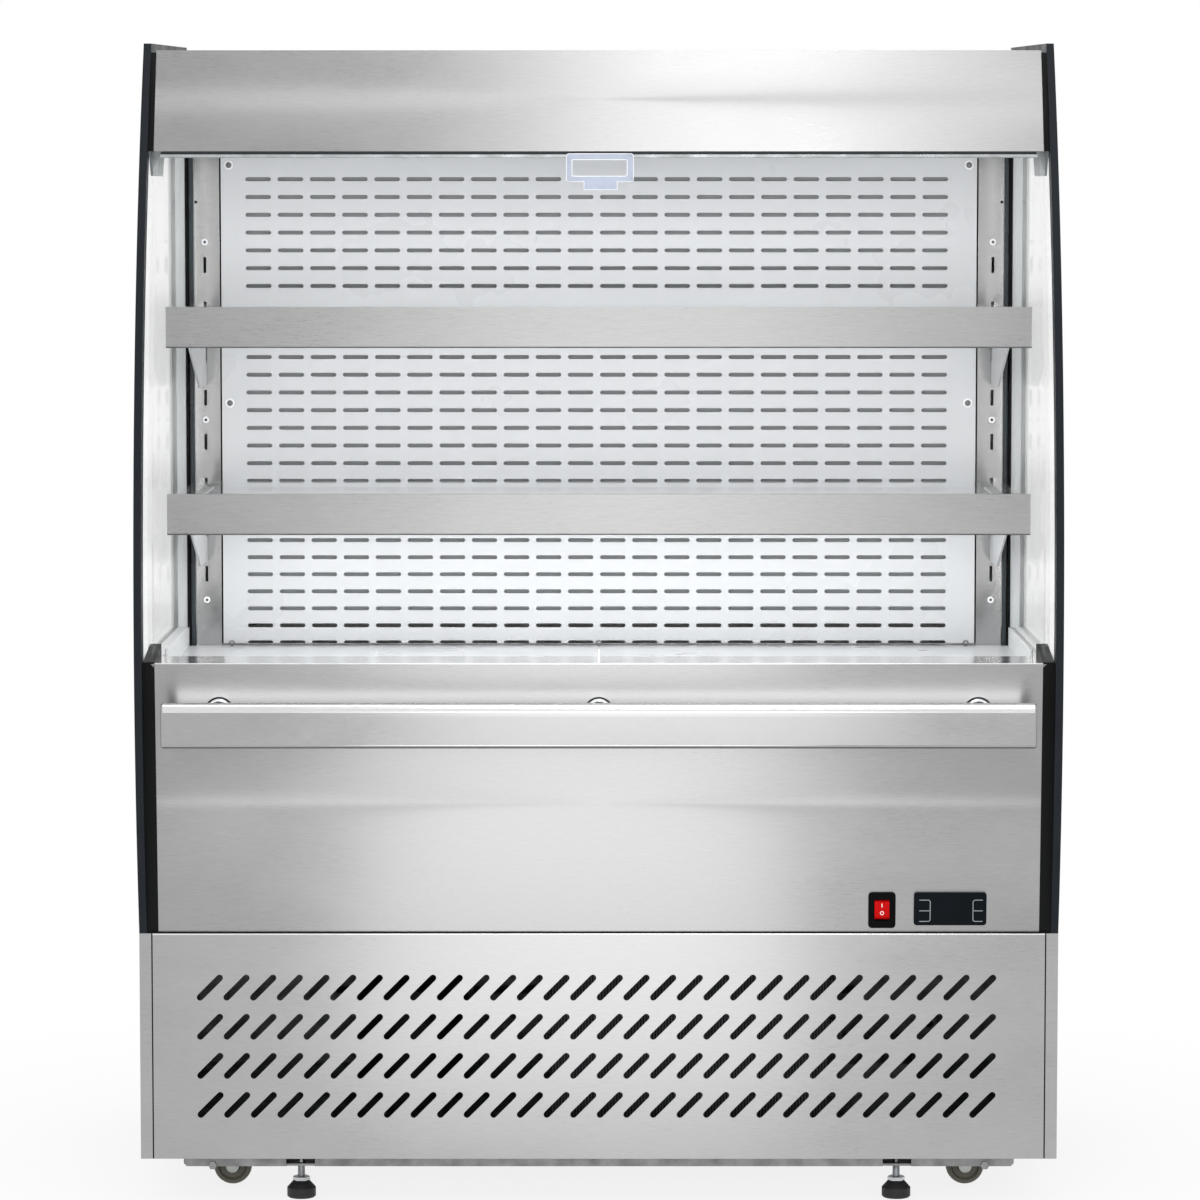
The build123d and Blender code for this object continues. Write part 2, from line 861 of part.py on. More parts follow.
# Canopy ------------------------------------------------------------------


def canopy_front_panel():
    outline = polygon(
        (canopy_y(canopy_bottom), canopy_bottom),
        (canopy_y(canopy_top), canopy_top),
        (canopy_y(canopy_top, canopy_sheet), canopy_top),
        (canopy_y(canopy_bottom, canopy_sheet), canopy_bottom),
    )
    return across(outline, -canopy_half, canopy_half)


def canopy_end():
    """The black end of the canopy, bored for the roller, with the bar's guide plate."""
    outline = polygon(
        (canopy_y(canopy_bottom, canopy_sheet), canopy_bottom),
        (canopy_y(roof_top, canopy_sheet), roof_top),
        (column_front, roof_top),
        (column_front, canopy_bottom),
    )
    end = across(outline, canopy_end_inner, cap_outer)
    guide = polygon(
        (guide_front, canopy_bottom),
        (guide_front + guide_slope, guide_bottom),
        (guide_rear - guide_slope, guide_bottom),
        (guide_rear, canopy_bottom),
    )
    end += across(guide, cap_outer - guide_sheet, cap_outer)
    bore_end = canopy_end_inner + roller_hole_depth
    bore = (canopy_end_inner, roller_y, roller_z)
    end -= rod(roller_pin_radius + fit, bore, (bore_end, roller_y, roller_z))
    return end


def ceiling_panel():
    """The display's ceiling and the upright front of the air duct above it."""
    front = nozzle_front + nozzle_depth
    x = (-canopy_end_inner, canopy_end_inner)
    panel = box(x, (front, column_front), (ceiling_z, ceiling_z + sheet))
    between_columns = (-column_inner, column_inner)
    over_uprights = (column_front, back_panel_y + upright_depth)
    panel += box(between_columns, over_uprights, (ceiling_z, ceiling_z + sheet))
    duct_front = (nozzle_front - sheet, nozzle_front)
    panel += box(x, duct_front, (ceiling_z, roof_bottom))
    return group(panel.solids())


def air_nozzle():
    """The air curtain's nozzle: a frame divided by upright vanes."""
    x = (-canopy_end_inner, canopy_end_inner)
    rear = nozzle_front + nozzle_depth
    frame = box(x, (nozzle_front, rear), (ceiling_z, ceiling_z + nozzle_height))
    pitch = 2 * canopy_end_inner / nozzle_cells
    cell = Rectangle(pitch - nozzle_web, nozzle_depth - 2 * nozzle_web)
    middle = nozzle_front + nozzle_depth / 2
    cells = Sketch() + [Pos(0, middle) * place * cell for place in GridLocations(pitch, 1, nozzle_cells, 1)]
    return frame - level(cells, ceiling_z, nozzle_height)


def lamp():
    """The lamp under the ceiling: an aluminium tray and a round-faced lens."""
    tray = Pos(lamp_y, ceiling_z - lamp_height / 2) * Rectangle(lamp_width, lamp_height)
    lens_top = ceiling_z - lamp_height
    lens = make_face([
        ThreePointArc(
            (lamp_y - lens_width / 2, lens_top),
            (lamp_y, lens_top - lens_height),
            (lamp_y + lens_width / 2, lens_top),
        ),
        Line((lamp_y + lens_width / 2, lens_top), (lamp_y - lens_width / 2, lens_top)),
    ])
    return group([across(tray, -lamp_half, lamp_half), across(lens, -lamp_half, lamp_half)])


def curtain_roller():
    """The spring roller with the cloth wound on it and a pin at each end."""
    pin_end = canopy_end_inner + roller_hole_depth - roller_pin_gap
    roller = rod(roll_radius, (-roll_half, roller_y, roller_z), (roll_half, roller_y, roller_z))
    return roller + rod(roller_pin_radius, (-pin_end, roller_y, roller_z), (pin_end, roller_y, roller_z))


bar_top = pull_bar_z + pull_bar_size[1] / 2
bar_front_y = pull_bar_y - pull_bar_size[0] / 2


def curtain_cloth():
    """The cloth's free stretch, from the roll down to the pull bar."""
    y_rear = roller_y - roll_radius - cloth_gap
    return box((-cloth_half, cloth_half), (y_rear - cloth_sheet, y_rear), (bar_top, roller_z))


def curtain_bar():
    """The pull bar, an aluminium extrusion."""
    section = RectangleRounded(*pull_bar_size, pull_bar_edge)
    return across(Pos(pull_bar_y, pull_bar_z) * section, -pull_bar_half, pull_bar_half)


def curtain_handle():
    """The moulded grip under the bar: a window for the fingers and a pull tab."""
    top = pull_bar_z
    centre_z = top - handle_size[1] / 2
    outline = Pos(0, centre_z) * RectangleRounded(*handle_size, handle_corner)
    tab_top = centre_z
    tab_half = handle_tab[0] / 2
    tab_end = top - handle_size[1] - handle_tab[1]
    tab = polygon(
        (-tab_half, tab_top),
        (-tab_half + handle_tab_slope, tab_end),
        (tab_half - handle_tab_slope, tab_end),
        (tab_half, tab_top),
    )
    window_z = top - handle_size[1] + handle_window_drop + handle_window[1] / 2
    window = Pos(0, window_z) * RectangleRounded(*handle_window, handle_corner / 2)
    return facing(outline + tab - window, bar_front_y, handle_sheet)


# Display space -----------------------------------------------------------


def back_panel():
    """The back of the display, folded back at its sides; its air slots are small holes."""
    plan = polygon(
        (-back_panel_half, back_panel_y),
        (back_panel_half, back_panel_y),
        (back_panel_half, back_panel_y + back_panel_return),
        (back_panel_half - sheet, back_panel_y + back_panel_return),
        (back_panel_half - sheet, back_panel_y + sheet),
        (-back_panel_half + sheet, back_panel_y + sheet),
        (-back_panel_half + sheet, back_panel_y + back_panel_return),
        (-back_panel_half, back_panel_y + back_panel_return),
    )
    return level(plan, deck_top, ceiling_z - deck_top)


def slot_height(index):
    """Centre height of one of the uprights' slots, counted from the top."""
    return upright_top_slot - index * upright_pitch


def upright():
    """A slotted channel beside the back panel that carries the shelf brackets."""
    inside = upright_inner + upright_sheet
    outside = column_inner - upright_sheet
    rear = back_panel_y + upright_depth
    plan = polygon(
        (upright_inner, back_panel_y),
        (column_inner, back_panel_y),
        (column_inner, rear),
        (outside, rear),
        (outside, back_panel_y + upright_sheet),
        (inside, back_panel_y + upright_sheet),
        (inside, rear),
        (upright_inner, rear),
    )
    post = level(plan, deck_top, ceiling_z - deck_top)
    slots = Sketch()
    for index in range(upright_slots):
        slots += Pos(upright_slot_x, slot_height(index)) * Rectangle(*upright_slot)
    return post - facing(slots, back_panel_y + upright_sheet, upright_sheet)


def deck_pan():
    """The display's floor, folded down at its front; behind it is the air duct's mouth."""
    x = (-wall_inner, wall_inner)
    pan = box(x, (deck_front, back_panel_y + upright_depth), (deck_top - sheet, deck_top))
    return pan + box(x, (deck_front, deck_front + sheet), (grille_top, deck_top))


def return_grille():
    """The slotted plate behind the ledge through which air goes back."""
    x = (-wall_inner, wall_inner)
    y = (ledge_rear - sheet, deck_front + sheet)
    plate = box(x, y, (grille_top - return_sheet, grille_top))
    centre = (ledge_rear + deck_front) / 2
    columns = int(2 * (wall_inner - return_margin) / return_pitch)
    places = GridLocations(return_pitch, 1, columns, 1)
    slots = Sketch() + [Pos(0, centre) * place * Rectangle(*return_slot) for place in places]
    return plate - level(slots, grille_top - return_sheet, return_sheet)


def wire_guard():
    """The wire stop that keeps goods off the back panel's slots."""
    y = back_panel_y - guard_setback
    z = deck_top + guard_height
    half = upright_inner - guard_wire / 2
    guard = wire(guard_wire, (-upright_inner, y, z), (upright_inner, y, z))
    legs = [(index - (guard_legs - 1) / 2) * guard_leg_pitch for index in range(guard_legs)]
    for x in [-half, *legs, half]:
        guard += wire(guard_wire, (x, y, deck_top), (x, y, z))
    return guard


# Shelves -----------------------------------------------------------------


def shelf_pane(glass_top):
    """The glass shelf."""
    y = (rail_front + rail_sheet, back_panel_y - shelf_glass_rear_gap)
    return box((-shelf_glass_half, shelf_glass_half), y, (glass_top - shelf_glass, glass_top))


def shelf_rail(glass_top):
    """The price rail: a tall face, a lip over the glass, a seat under it and a hem."""
    top = glass_top + rail_lip
    foot = top - rail_height
    seat_top = glass_top - shelf_glass
    inner = rail_front + rail_sheet
    outline = polygon(
        (rail_front, foot),
        (rail_front, top),
        (rail_front + rail_hem, top),
        (rail_front + rail_hem, glass_top),
        (inner, glass_top),
        (inner, seat_top),
        (rail_front + rail_seat, seat_top),
        (rail_front + rail_seat, seat_top - rail_sheet),
        (inner, seat_top - rail_sheet),
        (inner, foot + rail_sheet),
        (rail_front + rail_hem, foot + rail_sheet),
        (rail_front + rail_hem, foot),
    )
    return across(outline, -rail_half, rail_half)


def bracket_tab(slot_z):
    """A tab that goes through an upright's slot and hooks down behind it."""
    y = back_panel_y + upright_sheet
    foot = slot_z - upright_slot[1] / 2
    return polygon(
        (back_panel_y, foot),
        (back_panel_y, foot + tab_height),
        (y + tab_reach, foot + tab_height),
        (y + tab_reach, foot - tab_hook),
        (y, foot - tab_hook),
        (y, foot),
    )


def shelf_bracket(glass_top, slot_index):
    """A tapering plate with a flange under the glass, hooked into two of the upright's slots."""
    top = glass_top - shelf_glass
    front = rail_front + bracket_front_gap
    low = glass_top - bracket_drop
    plate = polygon(
        (front, top),
        (front, top - bracket_nose),
        (back_panel_y - bracket_toe, low),
        (back_panel_y, low),
        (back_panel_y, top),
    )
    toe = plate.vertices().sort_by_distance((back_panel_y - bracket_toe, low))[0]
    plate = fillet([toe], bracket_corner)
    for index in (slot_index, slot_index + 1):
        plate += bracket_tab(slot_height(index))
    half = bracket_sheet / 2
    bracket = across(plate, upright_slot_x - half, upright_slot_x + half)
    flange_x = (upright_slot_x + half - bracket_flange, upright_slot_x + half)
    flange_y = (front, back_panel_y - shelf_glass_rear_gap)
    return bracket + box(flange_x, flange_y, (top - bracket_sheet, top))


# Refrigeration parts -----------------------------------------------------


def compressor():
    """A hermetic compressor: a domed pot on a foot plate, with its terminal box."""
    foot_z = base_bottom + pan_sheet
    body_z = foot_z + compressor_foot
    x, y, r = compressor_x, compressor_y, compressor_radius
    pot = Cylinder(r, compressor_height, align=(Align.CENTER, Align.CENTER, Align.MIN))
    pot = chamfer(pot.edges().sort_by(Axis.Z)[-1:], compressor_dome)
    plate = level(Rectangle(*compressor_foot_size), foot_z, compressor_foot)
    box_x = (r + terminal_reach - terminal_size[0], r + terminal_reach)
    box_y = (-terminal_size[1] / 2, terminal_size[1] / 2)
    box_z = (body_z + terminal_rise, body_z + terminal_rise + terminal_size[2])
    return Pos(x, y) * (Pos(0, 0, body_z) * pot + plate + box(box_x, box_y, box_z))


def return_bend(x, y, z, side):
    """A coil tube's turn outside the end plate, from one row to the next, in flat runs."""
    centre_line = Polyline(
        (x, z - bend_pitch / 2),
        (x + side * bend_reach, z - bend_pitch / 4),
        (x + side * bend_reach, z + bend_pitch / 4),
        (x, z + bend_pitch / 2),
    )
    return facing(trace(centre_line, coil_tube), y + coil_tube / 2, coil_tube)


def coil(x_range, y_range, z_range, bends):
    """A finned block between end plates, with tube bends outside them."""
    pieces = [box(x_range, y_range, z_range)]
    middle = (y_range[0] + y_range[1]) / 2
    pitch = (z_range[1] - z_range[0]) / bends
    for x, side in ((x_range[0], -1), (x_range[1], 1)):
        outside = x + side * end_plate
        pieces.append(box(sorted((x, outside)), y_range, z_range))
        for row in range(bends):
            pieces.append(return_bend(outside, middle, z_range[0] + pitch * (row + 0.5), side))
    return group(pieces)


def condenser_coil():
    y_range = (condenser_front, condenser_rear)
    return coil(condenser_x, y_range, (condenser_bottom, condenser_top), condenser_bends)


def evaporator_coil():
    x_range = (-evaporator_half, evaporator_half)
    y_range = (evaporator_front, evaporator_rear)
    return coil(x_range, y_range, (tank_floor_top, evaporator_top), evaporator_bends)


condenser_fan_x = (condenser_x[0] + condenser_x[1]) / 2
condenser_fan_z = (condenser_bottom + condenser_top) / 2
shroud_rear = condenser_rear + shroud_depth


def fan_motor(x, y_plate, z, hole_radius):
    """A fan's motor, on three bent arms that stand on the plate around the fan's hole."""
    front = y_plate + fan_hub_length
    rear = front + motor_length
    body = rod(motor_radius, (x, front, z), (x, rear, z))
    body += rod(motor_shaft_radius, (x, y_plate, z), (x, front, z))
    arm_width, arm_sheet = motor_arm
    reach = hole_radius + motor_leg_gap + arm_sheet
    for turn in (90, 210, 330):
        place = Pos(x, z) * Rot(Z=turn)
        arm = place * Pos(reach / 2, 0) * Rectangle(reach, arm_width)
        leg = place * Pos(reach - arm_sheet / 2, 0) * Rectangle(arm_sheet, arm_width)
        body += facing(arm, rear, arm_sheet) + facing(leg, rear, rear - y_plate)
    return body


def condenser_shroud():
    """The box behind the condenser, open to it, with the fan's hole and motor."""
    hole_radius = condenser_fan_radius + fan_hole_gap
    shroud = box(condenser_x, (condenser_rear, shroud_rear), (condenser_bottom, condenser_top))
    inner_x = (condenser_x[0] + pan_sheet, condenser_x[1] - pan_sheet)
    inner_z = (condenser_bottom + pan_sheet, condenser_top - pan_sheet)
    shroud -= box(inner_x, (condenser_rear, shroud_rear - pan_sheet), inner_z)
    hole = Pos(condenser_fan_x, condenser_fan_z) * Circle(hole_radius)
    shroud -= facing(hole, shroud_rear, shroud_depth)
    return shroud + fan_motor(condenser_fan_x, shroud_rear, condenser_fan_z, hole_radius)


def fan(radius, x, y_front, z):
    """An axial fan: pitched blades on a hub with twelve flats, bored for the shaft."""
    length = fan_hub_length - 2 * fan_end_gap
    hub = RegularPolygon(fan_hub_radius, 12) - Circle(motor_shaft_radius + fit)
    wheel = extrude(hub, length)
    tip = radius - blade_tip_gap
    blade = polygon(
        (blade_root, -blade_chord / 3),
        (tip, -blade_chord / 2),
        (tip, blade_chord / 2),
        (blade_root, blade_chord / 3),
    )
    vane = Rot(X=fan_pitch_angle) * Pos(0, 0, -blade_sheet / 2) * extrude(blade, blade_sheet)
    for index in range(fan_blades):
        wheel += Pos(0, 0, length / 2) * Rot(Z=360 * index / fan_blades) * vane
    return Pos(x, y_front + fan_end_gap, z) * Rot(X=-90) * wheel


def condenser_fan():
    return fan(condenser_fan_radius, condenser_fan_x, shroud_rear, condenser_fan_z)


evaporator_plate_rear = fan_plate_y + fan_plate_sheet


def evaporator_fan(side):
    return fan(evaporator_fan_radius, side * evaporator_fan_x, evaporator_plate_rear, evaporator_fan_z)


def evaporator_fan_plate():
    """The upright plate under the deck with two fans' holes and motors."""
    y = (fan_plate_y, evaporator_plate_rear)
    plate = box((-wall_inner, wall_inner), y, (tank_floor_top, deck_top - sheet))
    hole_radius = evaporator_fan_radius + fan_hole_gap
    for side in (-1, 1):
        x = side * evaporator_fan_x
        hole = Pos(x, evaporator_fan_z) * Circle(hole_radius)
        plate -= facing(hole, evaporator_plate_rear, fan_plate_sheet)
        plate += fan_motor(x, evaporator_plate_rear, evaporator_fan_z, hole_radius)
    return plate


def drain_pan():
    """The pan in which condensate dries off."""
    foot = base_bottom + pan_sheet
    y_rear = back - drain_pan_gap
    y_front = y_rear - drain_pan_depth
    pan = box(drain_pan_x, (y_front, y_rear), (foot, foot + drain_pan_height))
    inner_x = (drain_pan_x[0] + pan_sheet, drain_pan_x[1] - pan_sheet)
    inner_y = (y_front + pan_sheet, y_rear - pan_sheet)
    return pan - box(inner_x, inner_y, (foot + pan_sheet, foot + drain_pan_height))


def shelf_parts(name, slot_index):
    glass_top = slot_height(slot_index) + shelf_over_slot
    brackets = both_sides(shelf_bracket(glass_top, slot_index))
    return {
        f"shelf_glass_{name}": shelf_pane(glass_top),
        f"shelf_rail_{name}": shelf_rail(glass_top),
        f"shelf_brackets_{name}": brackets,
    }


parts = {
    "base_frame": base_frame(),
    "floor_pan": floor_pan(),
    "base_grille": base_grille(),
    "rear_cover": rear_cover(),
    "side_base_panels": both_sides(side_base_panel()),
    "foot_left": levelling_foot(-1),
    "foot_right": levelling_foot(1),
    "side_walls": both_sides(side_wall()),
    "rear_columns": both_sides(rear_column()),
    "side_glass": both_sides(side_glass()),
    "side_trims": both_sides(side_trim()),
    "tank_floor": tank_floor(),
    "tank_front_wall": tank_front_wall(),
    "rear_wall": rear_wall(),
    "roof_panel": roof_panel(),
    "lower_front_panel": lower_front_panel(),
    "front_ledge": front_ledge(),
    "end_caps": both_sides(end_cap()),
    "bumper_bar": bumper_bar(),
    "bumper_standoffs": bumper_standoffs(),
    "switch_frame": switch_frame(),
    "switch_rocker": switch_rocker(),
    "controller": controller(),
    "canopy_front_panel": canopy_front_panel(),
    "canopy_ends": both_sides(canopy_end()),
    "ceiling_panel": ceiling_panel(),
    "air_nozzle": air_nozzle(),
    "lamp": lamp(),
    "curtain_roller": curtain_roller(),
    "curtain_cloth": curtain_cloth(),
    "curtain_bar": curtain_bar(),
    "curtain_handle": curtain_handle(),
    "back_panel": back_panel(),
    "uprights": both_sides(upright()),
    "deck_pan": deck_pan(),
    "return_grille": return_grille(),
    "wire_guard": wire_guard(),
    "compressor": compressor(),
    "condenser_coil": condenser_coil(),
    "condenser_shroud": condenser_shroud(),
    "condenser_fan": condenser_fan(),
    "evaporator_coil": evaporator_coil(),
    "evaporator_fan_plate": evaporator_fan_plate(),
    "evaporator_fan_left": evaporator_fan(-1),
    "evaporator_fan_right": evaporator_fan(1),
    "drain_pan": drain_pan(),
}
for name, (side, y) in caster_places.items():
    parts[f"caster_fork_{name}"] = caster_fork(side, y)
    parts[f"caster_wheel_{name}"] = caster_wheel(side, y)
for name, slot_index in shelf_slots.items():
    parts.update(shelf_parts(name, slot_index))

os.makedirs("parts", exist_ok=True)
for name, solid in parts.items():
    export_step(solid, f"parts/{name}.step")
print(len(parts), "nodes")
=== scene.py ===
import json
from math import atan2, cos, radians, sin

import bmesh
import bpy
from mathutils import Matrix, Vector
from mathutils.geometry import delaunay_2d_cdt

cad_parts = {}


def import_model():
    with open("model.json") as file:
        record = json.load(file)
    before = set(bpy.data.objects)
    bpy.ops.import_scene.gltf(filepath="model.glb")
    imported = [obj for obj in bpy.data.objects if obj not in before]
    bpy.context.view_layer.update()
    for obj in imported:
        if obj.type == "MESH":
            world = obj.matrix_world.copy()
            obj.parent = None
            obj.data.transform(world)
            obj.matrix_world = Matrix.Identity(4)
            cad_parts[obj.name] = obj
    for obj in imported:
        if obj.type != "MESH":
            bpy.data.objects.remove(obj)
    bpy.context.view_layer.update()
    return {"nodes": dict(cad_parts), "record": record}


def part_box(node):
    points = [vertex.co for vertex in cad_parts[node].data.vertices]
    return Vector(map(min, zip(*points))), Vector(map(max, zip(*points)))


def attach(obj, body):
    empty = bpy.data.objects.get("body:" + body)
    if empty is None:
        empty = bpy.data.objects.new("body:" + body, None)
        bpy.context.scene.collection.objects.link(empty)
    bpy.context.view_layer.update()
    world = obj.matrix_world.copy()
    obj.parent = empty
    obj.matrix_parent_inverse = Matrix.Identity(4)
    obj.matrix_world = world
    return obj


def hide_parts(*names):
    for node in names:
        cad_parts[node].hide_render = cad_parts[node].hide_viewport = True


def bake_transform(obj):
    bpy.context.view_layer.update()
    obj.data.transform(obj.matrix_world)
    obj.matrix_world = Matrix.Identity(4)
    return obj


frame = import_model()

nodes = frame["nodes"]
record = frame["record"]
slot_of = {part["node"]: part["material_slot"] for part in record["subparts"]}
bodies = record["behaviour"]["bodies"]
body_of = {node: body for body, members in bodies.items() for node in members}

MM = 0.001


def mm(*lengths):
    """Lengths given in millimetres, in metres."""
    return tuple(length * MM for length in lengths)


def points_mm(*points):
    """Points given in millimetres, in metres."""
    return [mm(*point) for point in points]


def low(node):
    """The lowest corner of a CAD node's box."""
    return Vector(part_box(node)[0])


def high(node):
    """The highest corner of a CAD node's box."""
    return Vector(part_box(node)[1])


def box(node):
    """The lowest and the highest corner of a CAD node's box."""
    return low(node), high(node)


def in_scene(name, data):
    """A new object in the scene."""
    made = bpy.data.objects.new(name, data)
    bpy.context.scene.collection.objects.link(made)
    return made


def as_object(name, shape):
    """The mesh in the making, turned into an object in the scene."""
    mesh = bpy.data.meshes.new(name)
    shape.to_mesh(mesh)
    shape.free()
    return in_scene(name, mesh)


# Finishes ------------

CLOUD_RANGE = (0.3, 0.7)  # most of a noise's values lie between these
FINE_RELIEF = 0.02 * MM
FAINT_RELIEF = 0.01 * MM


def srgb(*levels):
    """A colour as it shows on screen, three levels up to 255 or one of grey, turned linear."""
    shares = [level / 255 for level in levels * (3 // len(levels))]
    linear = [s / 12.92 if s <= 0.04045 else ((s + 0.055) / 1.055) ** 2.4 for s in shares]
    return (*linear, 1.0)


def tinted(shade, factor, lift=0):
    """A shade's levels times factor, raised by lift and held at white."""
    return srgb(*[min(255, level * factor + lift) for level in shade])


class Finish:
    """A Principled material, with the noise that varies its colour, gloss and relief."""

    def __init__(self, name, colour, roughness, **sockets):
        self.name = name
        self.material = bpy.data.materials.new(name)
        self.material.use_nodes = True
        self.tree = self.material.node_tree
        self.shader = self.tree.nodes["Principled BSDF"]
        self.shader.inputs["Base Color"].default_value = colour
        self.shader.inputs["Roughness"].default_value = roughness
        for socket, value in sockets.items():
            self.shader.inputs[socket.replace("_", " ")].default_value = value
        self.place = self.add("TexCoord").outputs["Object"]

    def add(self, kind, inputs=(), **attributes):
        node = self.tree.nodes.new("ShaderNode" + kind)
        for name, value in attributes.items():
            setattr(node, name, value)
        for name, value in dict(inputs).items():
            node.inputs[name].default_value = value
        return node

    def link(self, source, target):
        self.tree.links.new(source, target)

    def noise(self, scale, stretch=(1, 1, 1), detail=3.0, roughness=0.55):
        mapping = self.add("Mapping", {"Scale": stretch})
        self.link(self.place, mapping.inputs["Vector"])
        node = self.add("TexNoise", {"Scale": scale, "Detail": detail, "Roughness": roughness})
        self.link(mapping.outputs["Vector"], node.inputs["Vector"])
        return node.outputs["Fac"]

    def wave(self, scale, axis, distortion=0.0):
        node = self.add("TexWave", {"Scale": scale, "Distortion": distortion}, bands_direction=axis)
        self.link(self.place, node.inputs["Vector"])
        return node.outputs["Fac"]

    def ranged(self, source, start, end, to_low=0.0, to_high=1.0):
        """source, taken from start..end to to_low..to_high and held there."""
        limits = {"From Min": start, "From Max": end, "To Min": to_low, "To Max": to_high}
        node = self.add("MapRange", limits)
        self.link(source, node.inputs["Value"])
        return node.outputs["Result"]

    def combine(self, operation, first, second):
        node = self.add("Math", operation=operation)
        for socket, value in zip(node.inputs, (first, second)):
            if isinstance(value, (int, float)):
                socket.default_value = value
            else:
                self.link(value, socket)
        return node.outputs[0]

    def colour(self, factor, first, second):
        """The base colour runs from first to second with factor."""
        mix = self.add("Mix", data_type="RGBA")
        mix.inputs[6].default_value = first
        mix.inputs[7].default_value = second
        self.link(factor, mix.inputs["Factor"])
        self.link(mix.outputs[2], self.shader.inputs["Base Color"])

    def gloss(self, factor, first, second):
        """The roughness runs from first to second with factor."""
        level = self.ranged(factor, *CLOUD_RANGE, first, second)
        self.link(level, self.shader.inputs["Roughness"])

    def clouded(self, scale, detail, span, first, second, gloss):
        """Clouds between two colours, and between two values of roughness."""
        cloud = self.noise(scale, detail=detail)
        self.colour(self.ranged(cloud, *span), first, second)
        self.gloss(cloud, *gloss)

    def relief(self, height, depth, strength=1.0):
        """Bumps of that depth, in metres."""
        bump = self.add("Bump", {"Distance": depth, "Strength": strength})
        self.link(height, bump.inputs["Height"])
        self.link(bump.outputs["Normal"], self.shader.inputs["Normal"])


def brushed_steel(name, dark, light, roughness, pull=0.75):
    """Stainless steel brushed in fine lines, cloudy; pull is how far its glints draw out."""
    drawn_out = {"Anisotropic": pull, "Anisotropic_Rotation": 0.25}
    steel = Finish(name, srgb(light), roughness, Metallic=1.0, **drawn_out)
    lines = steel.noise(60, (1, 30, 30), detail=6, roughness=0.7)
    cloud = steel.noise(5, (1, 2, 2), detail=2)
    line_part = steel.combine("MULTIPLY", lines, 0.7)
    cloud_part = steel.combine("MULTIPLY", cloud, 0.3)
    mixed = steel.combine("ADD", line_part, cloud_part)
    steel.colour(steel.ranged(mixed, 0.35, 0.65), srgb(dark), srgb(light))
    steel.gloss(mixed, roughness - 0.05, roughness + 0.07)
    steel.relief(lines, FINE_RELIEF, 0.18)
    return steel


def painted(name, shade, roughness):
    """Powder-coated sheet: a faint orange peel, and slightly uneven gloss."""
    paint = Finish(name, srgb(*shade), roughness)
    gloss = (roughness - 0.05, roughness + 0.07)
    paint.clouded(6, 3, CLOUD_RANGE, tinted(shade, 0.98), srgb(*shade), gloss)
    paint.relief(paint.noise(700, detail=2), 0.04 * MM, 0.4)
    return paint


def plastic(name, shade, roughness, shine=0.5):
    """Moulded plastic or rubber with a fine grain and duller patches."""
    part = Finish(name, srgb(*shade), roughness, Specular_IOR_Level=shine)
    gloss = (roughness - 0.06, roughness + 0.1)
    part.clouded(14, 4, (0.35, 0.7), srgb(*shade), tinted(shade, 1.1, lift=2), gloss)
    part.relief(part.noise(1500, detail=3), 0.06 * MM, 0.5)
    return part


def bare_metal(name, shade, roughness):
    """Plated or drawn metal with small clouds of tarnish."""
    metal = Finish(name, srgb(*shade), roughness, Metallic=1.0)
    gloss = (roughness - 0.06, roughness + 0.1)
    metal.clouded(40, 5, (0.35, 0.7), srgb(*shade), tinted(shade, 0.85), gloss)
    metal.relief(metal.noise(900, detail=2), FINE_RELIEF, 0.4)
    return metal


def finned(name, shade):
    """A coil's aluminium fins, seen edge on: fine upright lines, some of them bent, with near-black
    lines of painted shade between them.
    """
    fins = Finish(name, srgb(*shade), 0.4, Metallic=0.6)
    lines = fins.wave(80, "X", distortion=0.6)
    # Painted shade: the near-black lines stand in for the shade in the gaps between the fins.
    fins.colour(lines, srgb(26), srgb(*shade))
    fins.gloss(fins.noise(30), 0.35, 0.5)
    fins.relief(lines, 0.6 * MM)
    return fins


def clear(name, shade):
    """Clear glass with the faintest waviness and smears, that shows only faintly."""
    glass = Finish(name, srgb(*shade), 0.0, IOR=1.5, Transmission_Weight=1.0, Alpha=0.16)
    glass.relief(glass.noise(9, detail=1), FAINT_RELIEF, 0.1)
    glass.gloss(glass.noise(30, (1, 1, 4), detail=4), 0.0, 0.02)
    return glass


def frosted(name, shade):
    """The handle's milky clear plastic."""
    milky = Finish(name, srgb(*shade), 0.3, Transmission_Weight=0.1, IOR=1.46)
    milky.clouded(45, 3, (0.35, 0.65), srgb(*shade), tinted(shade, 1.08), (0.25, 0.4))
    milky.relief(milky.noise(300), FAINT_RELIEF, 0.3)
    return milky


def woven(name, shade):
    """Curtain cloth: a plain weave, duller and darker between its threads."""
    cloth = Finish(name, srgb(*shade), 0.8, Sheen_Weight=0.25)
    weave = cloth.combine("MULTIPLY", cloth.wave(420, "X"), cloth.wave(420, "Z"))
    cloth.colour(weave, tinted(shade, 0.85), srgb(*shade))
    cloth.relief(weave, 0.2 * MM, 0.6)
    return cloth


